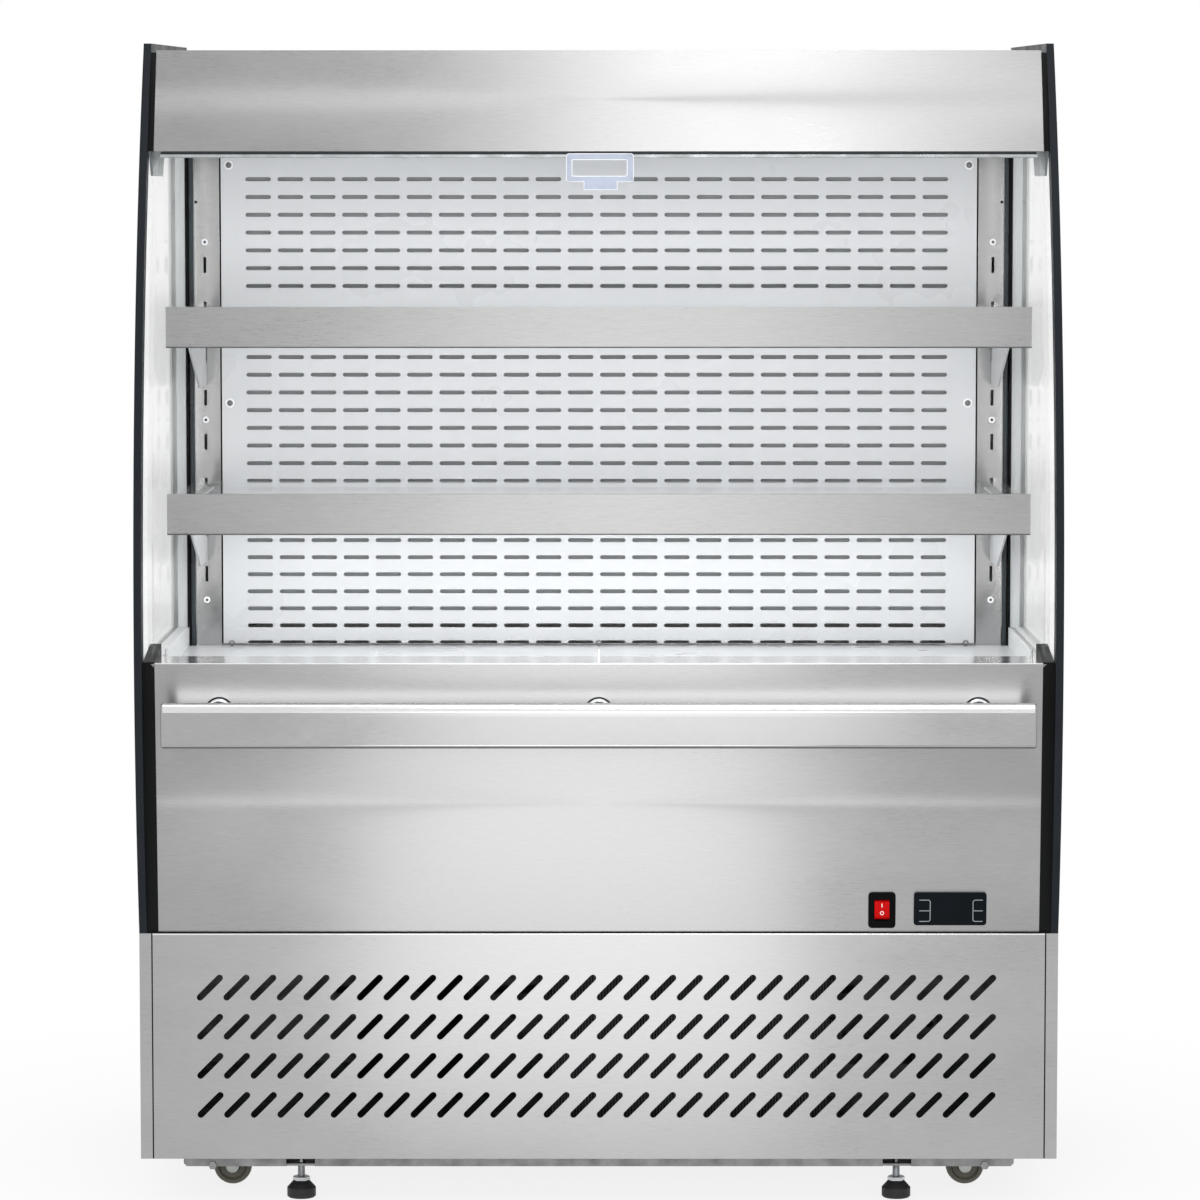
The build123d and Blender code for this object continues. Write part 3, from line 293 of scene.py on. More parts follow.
finish = {made.name: made for made in (
    bare_metal("frame_steel", (150, 150, 150), 0.45),
    bare_metal("pan_steel", (168, 170, 172), 0.45),
    brushed_steel("brushed", 150, 166, 0.3),
    plastic("foot_black", (17, 17, 19), 0.5),
    painted("liner", (236, 238, 238), 0.38),
    painted("column_grey", (226, 230, 231), 0.42),
    clear("clear_glass", (253, 255, 254)),
    plastic("trim_black", (24, 28, 33), 0.4, shine=0.12),
    brushed_steel("polished", 226, 238, 0.16, pull=0.2),
    brushed_steel("satin_bar", 160, 174, 0.16, pull=0.2),
    plastic("switch_black", (7, 7, 8), 0.4, shine=0.04),
    plastic("rocker_red", (176, 6, 8), 0.3, shine=0.06),
    plastic("controller_black", (13, 17, 21), 0.35, shine=0.04),
    painted("liner_steel", (212, 214, 216), 0.3),
    plastic("nozzle_white", (232, 234, 232), 0.5),
    bare_metal("lamp_alu", (214, 216, 218), 0.35),
    woven("cloth_grey", (206, 208, 210)),
    bare_metal("bar_alu", (176, 180, 182), 0.28),
    frosted("handle_clear", (172, 180, 197)),
    bare_metal("wire_chrome", (206, 208, 210), 0.14),
    plastic("compressor_black", (26, 27, 29), 0.4),
    finned("coil_alu", (92, 95, 98)),
    plastic("fan_black", (30, 31, 33), 0.4),
    bare_metal("fork_zinc", (170, 172, 168), 0.32),
    plastic("wheel_grey", (84, 82, 72), 0.5),
    brushed_steel("upright_steel", 166, 180, 0.12),
    # Painted shade: a darker copy of the brushed steel for the canopy's front, so that its ends,
    # away from the lamp's glint, come out darker.
    brushed_steel("canopy_shaded_steel", 134, 150, 0.3),
    brushed_steel("base_steel", 160, 176, 0.3),
    # A lighter copy of the bar's steel, laid over the bumper's top as a painted highlight.
    brushed_steel("crown_highlight_steel", 210, 222, 0.16, pull=0.2),
    # The real white of the screw washers, and also the white of the painted highlight on the
    # handle's rims.
    plastic("rim_white_and_highlight", (236, 238, 242), 0.35),
    painted("duct_grey", (168, 172, 174), 0.6),
    painted("bracket_grey", (186, 188, 190), 0.35),
    painted("end_grey", (108, 116, 118), 0.5),
    # The gaskets' real lip colour, and also the dark of painted shade along the bumper's foot and
    # above the curtain's bar.
    plastic("lip_grey_and_shade", (44, 50, 54), 0.3, shine=0.3),
    # Real rubber, and also the black of painted shade filling the seams' gaps and the gaps beside
    # the uprights.
    plastic("rubber_and_gap_shade", (7, 8, 9), 0.42, shine=0.12),
    bare_metal("dark_metal", (96, 98, 98), 0.4),
    plastic("mark_grey", (126, 134, 138), 0.5),
    plastic("mark_white", (236, 236, 232), 0.5),
)}

own_finish = {
    "uprights": "upright_steel",
    "shelf_brackets_upper": "bracket_grey",
    "shelf_brackets_lower": "bracket_grey",
    "canopy_ends": "end_grey",
    "canopy_front_panel": "canopy_shaded_steel",
    "end_caps": "rubber_and_gap_shade",
    "side_base_panels": "base_steel",
}
for name, node in nodes.items():
    node.data.materials.clear()
    node.data.materials.append(finish[own_finish.get(name, slot_of[name])].material)


# Mesh makers ------------

def placed(x_dir, y_dir, origin):
    """A place with these x and y directions; its z axis points square to both."""
    x_dir, y_dir = Vector(x_dir), Vector(y_dir)
    place = Matrix((x_dir, y_dir, x_dir.cross(y_dir))).transposed().to_4x4()
    place.translation = origin
    return place


def facing_front(x, y, z):
    """A place whose z axis points to the front."""
    return placed((1, 0, 0), (0, 0, 1), (x, y, z))


def level(x, y, z):
    """A place whose z axis points up."""
    return placed((1, 0, 0), (0, 1, 0), (x, y, z))


def along_x(x):
    """A Y-Z outline's place, looking to +X."""
    return placed((0, 1, 0), (0, 0, 1), (x, 0, 0))


def arc(centre, radius, start, end, steps=6):
    """Points on an arc between two angles in degrees."""
    angles = [radians(start + (end - start) * k / steps) for k in range(steps + 1)]
    return [(centre[0] + radius * cos(a), centre[1] + radius * sin(a)) for a in angles]


def circle(radius, points):
    return arc((0, 0), radius, 0, 360, points)[:-1]


def spread(count, pitch):
    """That many values, pitch apart, around zero."""
    return [(k - (count - 1) / 2) * pitch for k in range(count)]


def obround(length, width, centre, lean=0.0):
    """A slot's outline: two half circles joined by straight sides."""
    radius = width / 2
    reach = length / 2 - radius
    outline = arc((reach, 0), radius, -90, 90) + arc((-reach, 0), radius, 90, 270)
    (across, up), c, s = centre, cos(lean), sin(lean)
    return [(across + x * c - z * s, up + x * s + z * c) for x, z in outline]


def rectangle(x_low, x_high, z_low, z_high, corner=0.0, steps=6):
    """A rectangle's outline, with rounded corners where corner is given."""
    left, right, foot, top = x_low + corner, x_high - corner, z_low + corner, z_high - corner
    outline = [(left, foot), (right, foot), (right, top), (left, top)]
    if not corner:
        return outline
    turns = zip(outline, (180, 270, 0, 90))
    arcs = [arc(centre, corner, start, start + 90, steps) for centre, start in turns]
    return sum(arcs, [])


def centred(size, corner=0.0, centre=(0, 0)):
    """A rectangle of that size around a centre."""
    (x, z), half_x, half_z = centre, size[0] / 2, size[1] / 2
    return rectangle(x - half_x, x + half_x, z - half_z, z + half_z, corner)


def flipped(outline):
    """The outline mirrored to -x, still running the same way round."""
    return [(-x, y) for x, y in reversed(outline)]


SMOOTH_BELOW = radians(35)
ROUND_ABOVE = radians(50)
SAME_POINT = 1e-8


class Shape:
    """A mesh in the making, built up from plates and turned parts."""

    def __init__(self):
        self.mesh = bmesh.new()

    def plate(self, outline, thickness, place, holes=()):
        """A plate whose front is the place's x-y plane and whose rear is at -thickness."""
        loops = [outline, *holes]
        points = [Vector(point) for loop in loops for point in loop]
        rings = []
        for loop in loops:
            start = sum(len(ring) for ring in rings)
            rings.append(list(range(start, start + len(loop))))
        flat, _, faces, sources, _, owners = delaunay_2d_cdt(points, [], rings, 0, SAME_POINT)
        output = {source: k for k, merged in enumerate(sources) for source in merged}
        front = [self.mesh.verts.new(place @ Vector((x, y, 0))) for x, y in flat]
        rear = [self.mesh.verts.new(place @ Vector((x, y, -thickness))) for x, y in flat]
        for face, owner in zip(faces, owners):
            if list(owner) == [0]:
                self.mesh.faces.new([front[k] for k in face])
                self.mesh.faces.new([rear[k] for k in reversed(face)])
        for ring in rings:
            ends = [output[k] for k in ring]
            for a, b in zip(ends, ends[1:] + ends[:1]):
                self.mesh.faces.new((front[a], rear[a], rear[b], front[b]))
        return self

    def lathe(self, profile, place, steps=24, closed=False):
        """A part turned about the place's z axis, from (radius, height) points."""
        rings = []
        for radius, height in profile:
            spots = circle(radius, steps) if radius else [(0, 0)]
            ring = [self.mesh.verts.new(place @ Vector((x, y, height))) for x, y in spots]
            rings.append(ring)
        for lower, upper in zip(rings, rings[1:] + rings[:1] if closed else rings[1:]):
            for k in range(steps):
                after = (k + 1) % steps
                corners = (lower[k % len(lower)], lower[after % len(lower)])
                corners += (upper[after % len(upper)], upper[k % len(upper)])
                self.mesh.faces.new(list(dict.fromkeys(corners)))
        return self

    def loft(self, rings):
        """Rings of equally many points, each joined to the next and the outer two closed."""
        rows = [[self.mesh.verts.new(point) for point in ring] for ring in rings]
        for near, far in zip(rows, rows[1:]):
            for k in range(len(near)):
                after = (k + 1) % len(near)
                self.mesh.faces.new((near[k], near[after], far[after], far[k]))
        self.mesh.faces.new(rows[0])
        self.mesh.faces.new(rows[-1])
        return self


def piece(name, shape, slot, body="cabinet", stands_for=(), material=None, edge=0.0):
    """A finished piece that rides on a body; edge rounds its sharp edges."""
    bmesh.ops.recalc_face_normals(shape.mesh, faces=shape.mesh.faces)
    made = as_object(name, shape.mesh)
    made.data.shade_smooth()
    made.data.set_sharp_from_angle(angle=SMOOTH_BELOW)
    made.data.materials.append(finish[material or slot].material)
    if edge:
        soften(made, edge)
    if body:
        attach(made, body)
    if stands_for:
        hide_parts(*stands_for)
    return made


def soften(thing, width, steps=2):
    """Rounds a piece's sharp edges."""
    bevel = thing.modifiers.new("edges", "BEVEL")
    bevel.width = width
    bevel.segments = steps
    bevel.limit_method = "ANGLE"
    bevel.angle_limit = ROUND_ABOVE


shelf_rails = ("shelf_rail_upper", "shelf_rail_lower")
for name in ("lower_front_panel", "canopy_front_panel", *shelf_rails, "front_ledge"):
    soften(nodes[name], 0.4 * MM)
for name in ("side_base_panels", "controller"):
    soften(nodes[name], 0.8 * MM)
soften(nodes["side_trims"], 1.2 * MM)
soften(nodes["end_caps"], 3.5 * MM, 3)


# The leaning lower panel ------------

sheet = 1.2 * MM
panel_low, panel_high = box("lower_front_panel")
panel_foot_y = panel_high.y - sheet
panel_top_y = panel_low.y
lean = atan2(panel_foot_y - panel_top_y, panel_high.z - panel_low.z)


def panel_y(z):
    """Y of the lower panel's face at height z."""
    share = (z - panel_low.z) / (panel_high.z - panel_low.z)
    return panel_foot_y + (panel_top_y - panel_foot_y) * share


panel_place = placed((1, 0, 0), (0, -sin(lean), cos(lean)), (0, panel_foot_y, panel_low.z))


def spread_on_panel(node):
    """Lowest and highest corner of a node in the directions of panel_place."""
    points = [panel_place.inverted() @ vertex.co for vertex in nodes[node].data.vertices]
    return [Vector(list(map(pick, zip(*points)))) for pick in (min, max)]


def off_panel(proud):
    """The panel's place moved out of it."""
    return panel_place @ Matrix.Translation((0, 0, proud))


# Grilles ------------

air_slot = mm(35.8, 5.7)
air_columns = 22
air_pitch = 45 * MM
air_shift = -3 * MM
air_rows = (  # rows in each group, height of its top row, pitch
    (7, 1342 * MM, 24.8 * MM),
    (8, 1094 * MM, 24.8 * MM),
    (7, 837 * MM, 24.0 * MM),
)
baffle_gap = 11 * MM  # from the back panel's face to the baffle behind its slots
baffle_inset = mm(2, 30, 15)  # at its sides, foot and head
baffle_sheet = 0.8 * MM


def back_panel():
    """The back of the display with its rows of air slots."""
    lowest, highest = box("back_panel")
    holes = []
    for rows, top, pitch in air_rows:
        for row in range(rows):
            for x in spread(air_columns, air_pitch):
                holes.append(obround(*air_slot, (air_shift + x, top - row * pitch)))
    outline = rectangle(lowest.x, highest.x, lowest.z, highest.z)
    shape = Shape().plate(outline, sheet, facing_front(0, lowest.y, 0), holes)
    for side in (-1, 1):
        fold = rectangle(-sheet / 2, sheet / 2, lowest.z, highest.z)
        x = side * (highest.x - sheet / 2)
        shape.plate(fold, highest.y - lowest.y - sheet, facing_front(x, lowest.y + sheet, 0))
    piece("back_sheet", shape, "liner_steel", stands_for=["back_panel"])
    side, foot, head = baffle_inset
    outline = rectangle(lowest.x + side, highest.x - side, lowest.z + foot, highest.z - head)
    baffle = Shape().plate(outline, baffle_sheet, facing_front(0, lowest.y + baffle_gap, 0))
    piece("duct_baffle", baffle, "liner_steel", material="duct_grey")


grille_columns = 30
grille_rows = 4
grille_pitch = mm(34.85, 51.7)
grille_slot = mm(45, 8.8)
grille_lean = radians(45)
grille_shift = -3 * MM
roll_centre = 1.2 * MM  # in from the grille's face and down from its top
roll_radius = 1.4 * MM


def base_grille():
    """The base's front sheet with its leaning, round-ended slots and rolled top edge, the edge in a
    lighter steel that is a painted highlight.
    """
    lowest, highest = box("base_grille")
    middle = (lowest.z + highest.z) / 2
    holes = []
    for z in spread(grille_rows, grille_pitch[1]):
        for x in spread(grille_columns, grille_pitch[0]):
            holes.append(obround(*grille_slot, (grille_shift + x, middle + z), grille_lean))
    outline = rectangle(lowest.x, highest.x, lowest.z, highest.z)
    shape = Shape().plate(outline, sheet, facing_front(0, lowest.y, 0), holes)
    piece("grille_sheet", shape, "brushed", stands_for=["base_grille"], material="base_steel")
    roll_y = lowest.y + roll_centre
    roll = arc((roll_y, highest.z - roll_centre), roll_radius, 90, 270) + [(roll_y, highest.z)]
    edge = Shape().plate(roll[::-1], highest.x - lowest.x, along_x(highest.x))
    # The rolled edge is real; its lighter steel is a painted highlight along it.
    piece("grille_edge_highlight", edge, "polished")


gap_shade_corner = 0.2 * MM
gap_shade_end = 15.5 * MM  # from the base's side to the strip's outer edge
gap_shade_width = 4.4 * MM  # of the strip beside the canopy's front
gap_shade_below = 3 * MM  # from the canopy's top to that strip's head


def seams():
    """Black strips around the base grille, under the lower panel and beside the canopy's front:
    painted shade that fills these gaps.
    """
    lowest, highest = box("base_grille")
    inner = high("side_base_panels").x - gap_shade_end
    shape = Shape()
    band_y = (lowest.y + 0.5 * MM, highest.y + 4 * MM)
    band = rectangle(*band_y, highest.z + 0.05 * MM, panel_low.z, gap_shade_corner)
    shape.plate(band, 2 * inner, along_x(inner))
    for turn in (-1, 1):
        centre = (turn * (highest.x + inner) / 2, highest.y + 0.4 * MM)
        band = centred((inner - highest.x, highest.y - lowest.y), gap_shade_corner, centre)
        shape.plate(band, highest.z - lowest.z, level(0, 0, highest.z))
    foot, head = box("canopy_front_panel")
    front, head_z = foot.y + 0.6 * MM, head.z - gap_shade_below
    slope = [(front, foot.z), (front + gap_shade_width, foot.z), (head.y, head_z)]
    slope.append((head.y - gap_shade_width, head_z))
    side = high("canopy_ends").x
    for x in (side, -head.x):
        shape.plate(slope, side - head.x, along_x(x))
    # Painted shade: black strips fill these gaps where only shade would show.
    piece("seam_shade_strips", shape, "trim_black", material="rubber_and_gap_shade")


comb_pitch = mm(10, 8.66)
comb_margin = 4 * MM
comb_cell = 5.2 * MM  # from a cell's middle to its corners


def nozzle_comb():
    """The honeycomb that the air curtain comes out of."""
    lowest, highest = box("air_nozzle")
    across, deep = comb_pitch
    rows = int((highest.y - lowest.y - 2 * comb_margin) / deep)
    columns = int((highest.x - lowest.x - 2 * comb_margin - across) / across)
    centre_y = (lowest.y + highest.y) / 2
    turns = [-radians(60 * k) for k in range(6)]
    cell = [(comb_cell * sin(a), comb_cell * cos(a)) for a in turns]
    holes = []
    for row, y in enumerate(spread(rows, deep)):
        for x in spread(columns, across):
            x += 0.25 * (-1) ** row * across
            holes.append([(x + corner_x, y + corner_y) for corner_x, corner_y in cell])
    outline = centred((highest.x - lowest.x, highest.y - lowest.y))
    facing_down = placed((1, 0, 0), (0, -1, 0), (0, centre_y, lowest.z))
    shape = Shape().plate(outline, highest.z - lowest.z, facing_down, holes)
    piece("nozzle_comb", shape, "nozzle_white", stands_for=["air_nozzle"])


back_panel()
base_grille()
seams()
nozzle_comb()


# Columns, uprights and their fixings ------------

column_y = low("rear_columns").y
column_inner = high("uprights").x
column_foot = high("deck_pan").z
column_head = low("ceiling_panel").z
inner_pane_x = 577.6 * MM
lip_size = mm(6.5, 3.5)  # how wide it is, how far it stands forward
lip_corner = 1.2 * MM
bulb_centre = 2 * MM  # ahead of the column's face


def column_seals():
    """A dark lip on each column's front, and a black bulb gasket against the inner pane."""
    lip_end = column_inner + lip_size[0]
    middle = (lip_end + inner_pane_x) / 2
    bulb = arc((middle, column_y - bulb_centre), middle - lip_end, 180, 360, 10)
    bulb = [(lip_end, column_y), *bulb, (inner_pane_x, column_y)]
    lip = rectangle(column_inner, lip_end, column_y - lip_size[1], column_y, lip_corner)
    gaskets, lips = Shape(), Shape()
    top = level(0, 0, column_head)
    for turned in (list, flipped):
        gaskets.plate(turned(bulb), column_head - column_foot, top)
        lips.plate(turned(lip), column_head - column_foot, top)
    piece("column_gaskets", gaskets, "trim_black", material="rubber_and_gap_shade")
    piece("gasket_lips", lips, "trim_black", material="lip_grey_and_shade")


def inner_panes():
    """The inner pane of each double-glazed side, up to the canopy and back to the column."""
    shape = Shape()
    mesh = shape.mesh
    mesh.from_mesh(nodes["side_glass"].data)
    inward = min(abs(vertex.co.x) for vertex in mesh.verts) - inner_pane_x
    for vertex in mesh.verts:
        vertex.co.x -= inward if vertex.co.x > 0 else -inward
    at_column = {"plane_co": (0, column_y, 0), "plane_no": (0, 1, 0)}
    at_canopy = {"plane_co": (0, 0, low("canopy_front_panel").z), "plane_no": (0, 0, 1)}
    for plane in (at_column, at_canopy):
        everything = [*mesh.verts, *mesh.edges, *mesh.faces]
        bmesh.ops.bisect_plane(mesh, geom=everything, clear_outer=True, dist=1e-6, **plane)
        bmesh.ops.holes_fill(mesh, edges=[edge for edge in mesh.edges if edge.is_boundary])
    piece("inner_panes", shape, "clear_glass")


upright_slot = mm(3.9, 21.5)
upright_slot_x = 550.6 * MM
upright_slot_top = 1222.4 * MM
upright_pitch = 61.8 * MM
upright_slots = 8
upright_wall = 2 * MM
upright_seam = 2.2 * MM  # between the back panel and the upright
seam_inset = mm(0.1, 0.6)  # at the seam's sides and front


def upright_sheets():
    """The uprights' slotted faces and their folded sides."""
    lowest, highest = box("uprights")
    panel_edge = high("back_panel").x
    inner = panel_edge + upright_seam
    wall = upright_wall
    side, front = seam_inset
    holes = [
        centred(upright_slot, centre=(upright_slot_x, upright_slot_top - k * upright_pitch))
        for k in range(upright_slots)
    ]
    face = rectangle(inner, highest.x, lowest.z, highest.z)
    # Painted shade: a black strip fills the gap between the back panel and each upright.
    seam = rectangle(panel_edge + side, inner - side, lowest.z, highest.z)
    shape, seams = Shape(), Shape()
    for turned in (list, flipped):
        seams.plate(turned(seam), wall, facing_front(0, lowest.y + front, 0))
        slots = [turned(hole) for hole in holes]
        shape.plate(turned(face), wall, facing_front(0, lowest.y, 0), slots)
        for x in (inner, highest.x - wall):
            fold = turned(rectangle(x, x + wall, lowest.y + wall, highest.y))
            shape.plate(fold, highest.z - lowest.z, level(0, 0, highest.z))
    piece("upright_sheets", shape, "brushed", "cabinet", ["uprights"], "upright_steel", 0.3 * MM)
    piece("upright_seam_shade", seams, "trim_black", material="rubber_and_gap_shade")


screw_height = 1.2 * MM


def pan_head(radius):
    """The profile of a pan-head screw with a socket in it."""
    shares = [(0, 0.35), (0.36, 0.35), (0.42, 1), (0.75, 0.85), (1, 0.3), (1, 0), (0, 0)]
    return [(radius * across, screw_height * up) for across, up in shares]


upright_screws = points_mm((550.5, 1254.5), (550.5, 1006), (550.5, 753))
panel_screws = points_mm((516.6, 1361.5), (516.6, 1029.5))
plug_hole = mm(562.5, 1310)
channel_bolt = mm(506, 52.5)
guard_clips = mm(-514.7, 0, 514.7)
upright_screw = 2 * MM  # radius, and of the hole in its washer
panel_screw = 4.2 * MM
upright_washer = points_mm((2, 0), (4.6, 0), (4.4, 0.6), (2, 0.9))
panel_washer = points_mm((4.2, 0), (6.4, 0), (6, 0.6), (4.2, 0.8))
plug_profile = points_mm((0, 0), (2, 0), (1.8, 0.7), (0, 0.9))
bolt_profile = points_mm((0, 0), (6, 0), (6, 3), (5.2, 4), (0, 4))


def fixings():
    """Screws in the uprights and the back panel, plugs, and the frame's bolts."""
    upright_face, panel_face = low("uprights").y, low("back_panel").y
    washers, cores, heads, plugs, bolts = [Shape() for _ in range(5)]
    for side in (-1, 1):
        for x, z in upright_screws:
            place = facing_front(side * x, upright_face, z)
            washers.lathe(upright_washer, place, closed=True)
            cores.lathe(pan_head(upright_screw), place, 12)
        for x, z in panel_screws:
            place = facing_front(side * x, panel_face, z)
            washers.lathe(panel_washer, place, closed=True)
            heads.lathe(pan_head(panel_screw), place)
        x, z = plug_hole
        plugs.lathe(plug_profile, facing_front(side * x, upright_face, z), 16)
        x, z = channel_bolt
        bolts.lathe(bolt_profile, facing_front(side * x, low("base_frame").y, z), 6)
    piece("screw_washers", washers, "wire_chrome", material="rim_white_and_highlight")
    piece("screw_heads", cores, "frame_steel", material="dark_metal")
    piece("panel_screws", heads, "frame_steel")
    piece("hole_plugs", plugs, "trim_black", material="rubber_and_gap_shade")
    piece("frame_bolts", bolts, "frame_steel")


guard_rise = 1 * MM  # from the CAD wire's place to the wire's
guard_round = 0.5 * MM  # at the wire's ends
clip_rise = 4.4 * MM
clip_profile = points_mm((1.8, 0), (4.6, 0), (4.2, 1), (2, 1.4))


def wire_guard():
    """The wire along the foot of the back panel, and the three clips that hold it."""
    lowest, highest = box("wire_guard")
    radius = (highest.y - lowest.y) / 2
    middle = Vector((lowest.x, lowest.y + radius, lowest.z + radius + guard_rise))
    length = highest.x - lowest.x
    inner = radius - guard_round
    rod = [(0, 0), (inner, 0), (radius, guard_round), (radius, length - guard_round)]
    rod += [(inner, length), (0, length)]
    wire = Shape().lathe(rod, placed((0, 1, 0), (0, 0, 1), middle), 16)
    piece("guard_wire", wire, "wire_chrome", stands_for=["wire_guard"], material="frame_steel")
    clips = Shape()
    for x in guard_clips:
        place = facing_front(x, lowest.y, lowest.z + clip_rise)
        clips.lathe(clip_profile, place, closed=True)
    piece("guard_clips", clips, "wire_chrome", material="frame_steel")


column_seals()
inner_panes()
upright_sheets()
fixings()
wire_guard()


# Lower front: bumper, rail edges, switch and controller ------------

bumper_bends = mm(8, 15.5, 5)  # how far they reach back, down from the top, up from the foot
bumper_end = 3 * MM
bumper_corner = 4 * MM
crown_foot = 20 * MM  # how far down the crown's rear reaches


def bumper_tube():
    """The bumper bar, widely rounded along its top: a lighter steel along the top is a painted
    highlight, and a dark strip along its foot is a painted shade.
    """
    lowest, highest = box("bumper_bar")
    (depth, top, foot), end = bumper_bends, bumper_end
    turns = [radians(a) for a in range(0, 91, 10)]
    nose = [(1 - cos(a), depth * (1 - sin(a))) for a in turns] + [(1.1, 0)]
    steps = [(share, highest.y - inward) for share, inward in reversed(nose)]
    steps += [(share, lowest.y + inward) for share, inward in nose]
    rings = []
    for share, y in steps:
        across = (lowest.x + end * share, highest.x - end * share)
        upward = (lowest.z + foot * share, highest.z - top * share)
        outline = rectangle(*across, *upward, bumper_corner - 3 * MM * min(share, 1))
        rings.append([(x, y, z) for x, z in outline])
    piece("bumper_tube", Shape().loft(rings), "satin_bar", stands_for=["bumper_bar"])

    def bend(rise, over, last):
        """Points along the front bend at the top, or the foot where rise is negative."""
        reach_z = rise + (over if rise > 0 else -over)
        middle = (highest.z if rise > 0 else lowest.z) - rise
        turns = [radians(a) for a in range(0, last + 1, 15)]
        reach_y, rear = depth + over, lowest.y + depth
        return [(rear - reach_y * sin(a), middle + reach_z * cos(a)) for a in turns]

    def band(over):
        """The line of the front bend, the top and the rear, set out by over."""
        rear = [(lowest.y + highest.y - y, z) for y, z in bend(top, over, 90)]
        return bend(top, over, 75)[::-1] + rear + [(rear[-1][0], highest.z - crown_foot)]

    reach = highest.x - end
    # Painted highlight: a lighter steel laid over the bar's top and the top of its rear.
    crown = Shape().plate(band(-0.5 * MM) + band(0.15 * MM)[::-1], 2 * reach, along_x(reach))
    piece("bumper_highlight_crown", crown, "satin_bar", material="crown_highlight_steel")
    # Painted shade: a dark strip along the bar's foot stands in for its shaded underside.
    edge = bend(-foot, 0.1 * MM, 45)[::-1] + bend(-foot, -0.5 * MM, 45)
    sole = Shape().plate(edge, 2 * reach, along_x(reach))
    piece("bumper_foot_shade", sole, "satin_bar", material="lip_grey_and_shade")


flange_radius = 17.5 * MM
flange_thickness = 4 * MM
rosette = mm(15.6, 2.6)  # radius of the ring, and of its section
post_seals = (mm(12, 1.4), mm(18.8, 0.8))


def rosettes():
    """A polished ring between two black ones where each post meets the panel."""
    lowest, highest = box("bumper_standoffs")
    z = (lowest.z + highest.z) / 2
    y = panel_y(z - flange_radius) - flange_thickness
    rings, seals = Shape(), Shape()
    for x in (lowest.x + flange_radius, 0, highest.x - flange_radius):
        place = facing_front(x, y, z)
        rings.lathe(arc((rosette[0], 0), rosette[1], 0, 180, 8), place, 32, True)
        for radius, section in post_seals:
            seals.lathe(arc((radius, 0), section, 0, 180, 6), place, 32, True)
    piece("rosettes", rings, "polished", material="wire_chrome")
    piece("post_seals", seals, "trim_black", material="rubber_and_gap_shade")


def rail_edges():
    """The dark edge strip along the foot of each shelf's rail."""
    shape = Shape()
    for name in shelf_rails:
        lowest, highest = box(name)
        front, rear = lowest.y - 0.4 * MM, lowest.y + 1 * MM
        strip = rectangle(front, rear, lowest.z, lowest.z + 1.8 * MM, 0.3 * MM)
        shape.plate(strip, highest.x - lowest.x, along_x(highest.x))
    piece("rail_edges", shape, "trim_black", material="dark_metal")


def middle_and_size(lowest, highest):
    """The centre and the size of a box in its own x and y."""
    centre = ((lowest.x + highest.x) / 2, (lowest.y + highest.y) / 2)
    return centre, (highest.x - lowest.x, highest.y - lowest.y)


switch_opening = mm(20.2, 27.8)
bezel_proud = 2.5 * MM
bezel_rim = 2.8 * MM  # how far its rim reaches past the body


def switch_bezel():
    """The switch's rounded frame, its well and its body."""
    lowest, highest = spread_on_panel("switch_frame")
    centre, size = middle_and_size(lowest, highest)
    well = [centred(switch_opening, 1 * MM, centre)]
    front = centred(size, 5 * MM, centre)
    shape = Shape().plate(front, bezel_proud, off_panel(bezel_proud), well)
    body = centred([side - 2 * bezel_rim for side in size], 2 * MM, centre)
    shape.plate(body, -lowest.z, panel_place, well)
    piece("switch_bezel", shape, "switch_black", stands_for=["switch_frame"], edge=0.9 * MM)


mark_thickness = 0.2 * MM
mark_lift = 0.15 * MM  # its front above the rocker's face
mark_bar = mm(1.1, 5)
mark_ring = mm(2.6, 1.7)  # outer and inner radius


def rocker_marks():
    """A bar on the rocker's upper face and a ring on its lower one."""
    outward = panel_place.to_3x3() @ Vector((0, 0, 1))
    areas = {}
    for polygon in nodes["switch_rocker"].data.polygons:
        key = tuple(round(part, 2) for part in polygon.normal)
        if polygon.normal.dot(outward) > 0.9:
            area, moment = areas.get(key, (0.0, Vector()))
            areas[key] = (area + polygon.area, moment + polygon.center * polygon.area)
    faces = sorted(areas.items(), key=lambda item: -item[1][0])[:2]
    faces.sort(key=lambda item: -item[1][1].z / item[1][0])
    ring, hole = [circle(radius, 28) for radius in mark_ring]
    marks = ((centred(mark_bar, 0.3 * MM), []), (ring, [hole]))
    shape = Shape()
    for (key, (area, moment)), (outline, holes) in zip(faces, marks):
        up = Vector(key).normalized().cross(Vector((1, 0, 0)))
        place = placed((1, 0, 0), up, moment / area) @ Matrix.Translation((0, 0, mark_lift))
        shape.plate(outline, mark_thickness, place, holes)
    piece("rocker_marks", shape, "rocker_red", "rocker", material="mark_white")


window_margin = 1.5 * MM
window_corner = 3.2 * MM
window_proud = 0.3 * MM
stroke = 1.1 * MM
bracket_corner = 3.4 * MM
bracket_heights = mm(12, -2.3, -16.4)  # of its top, its arm and its foot
bracket_reaches = (mm(-25.6, -40.4), mm(29.2, 42.4))  # from spine to tips


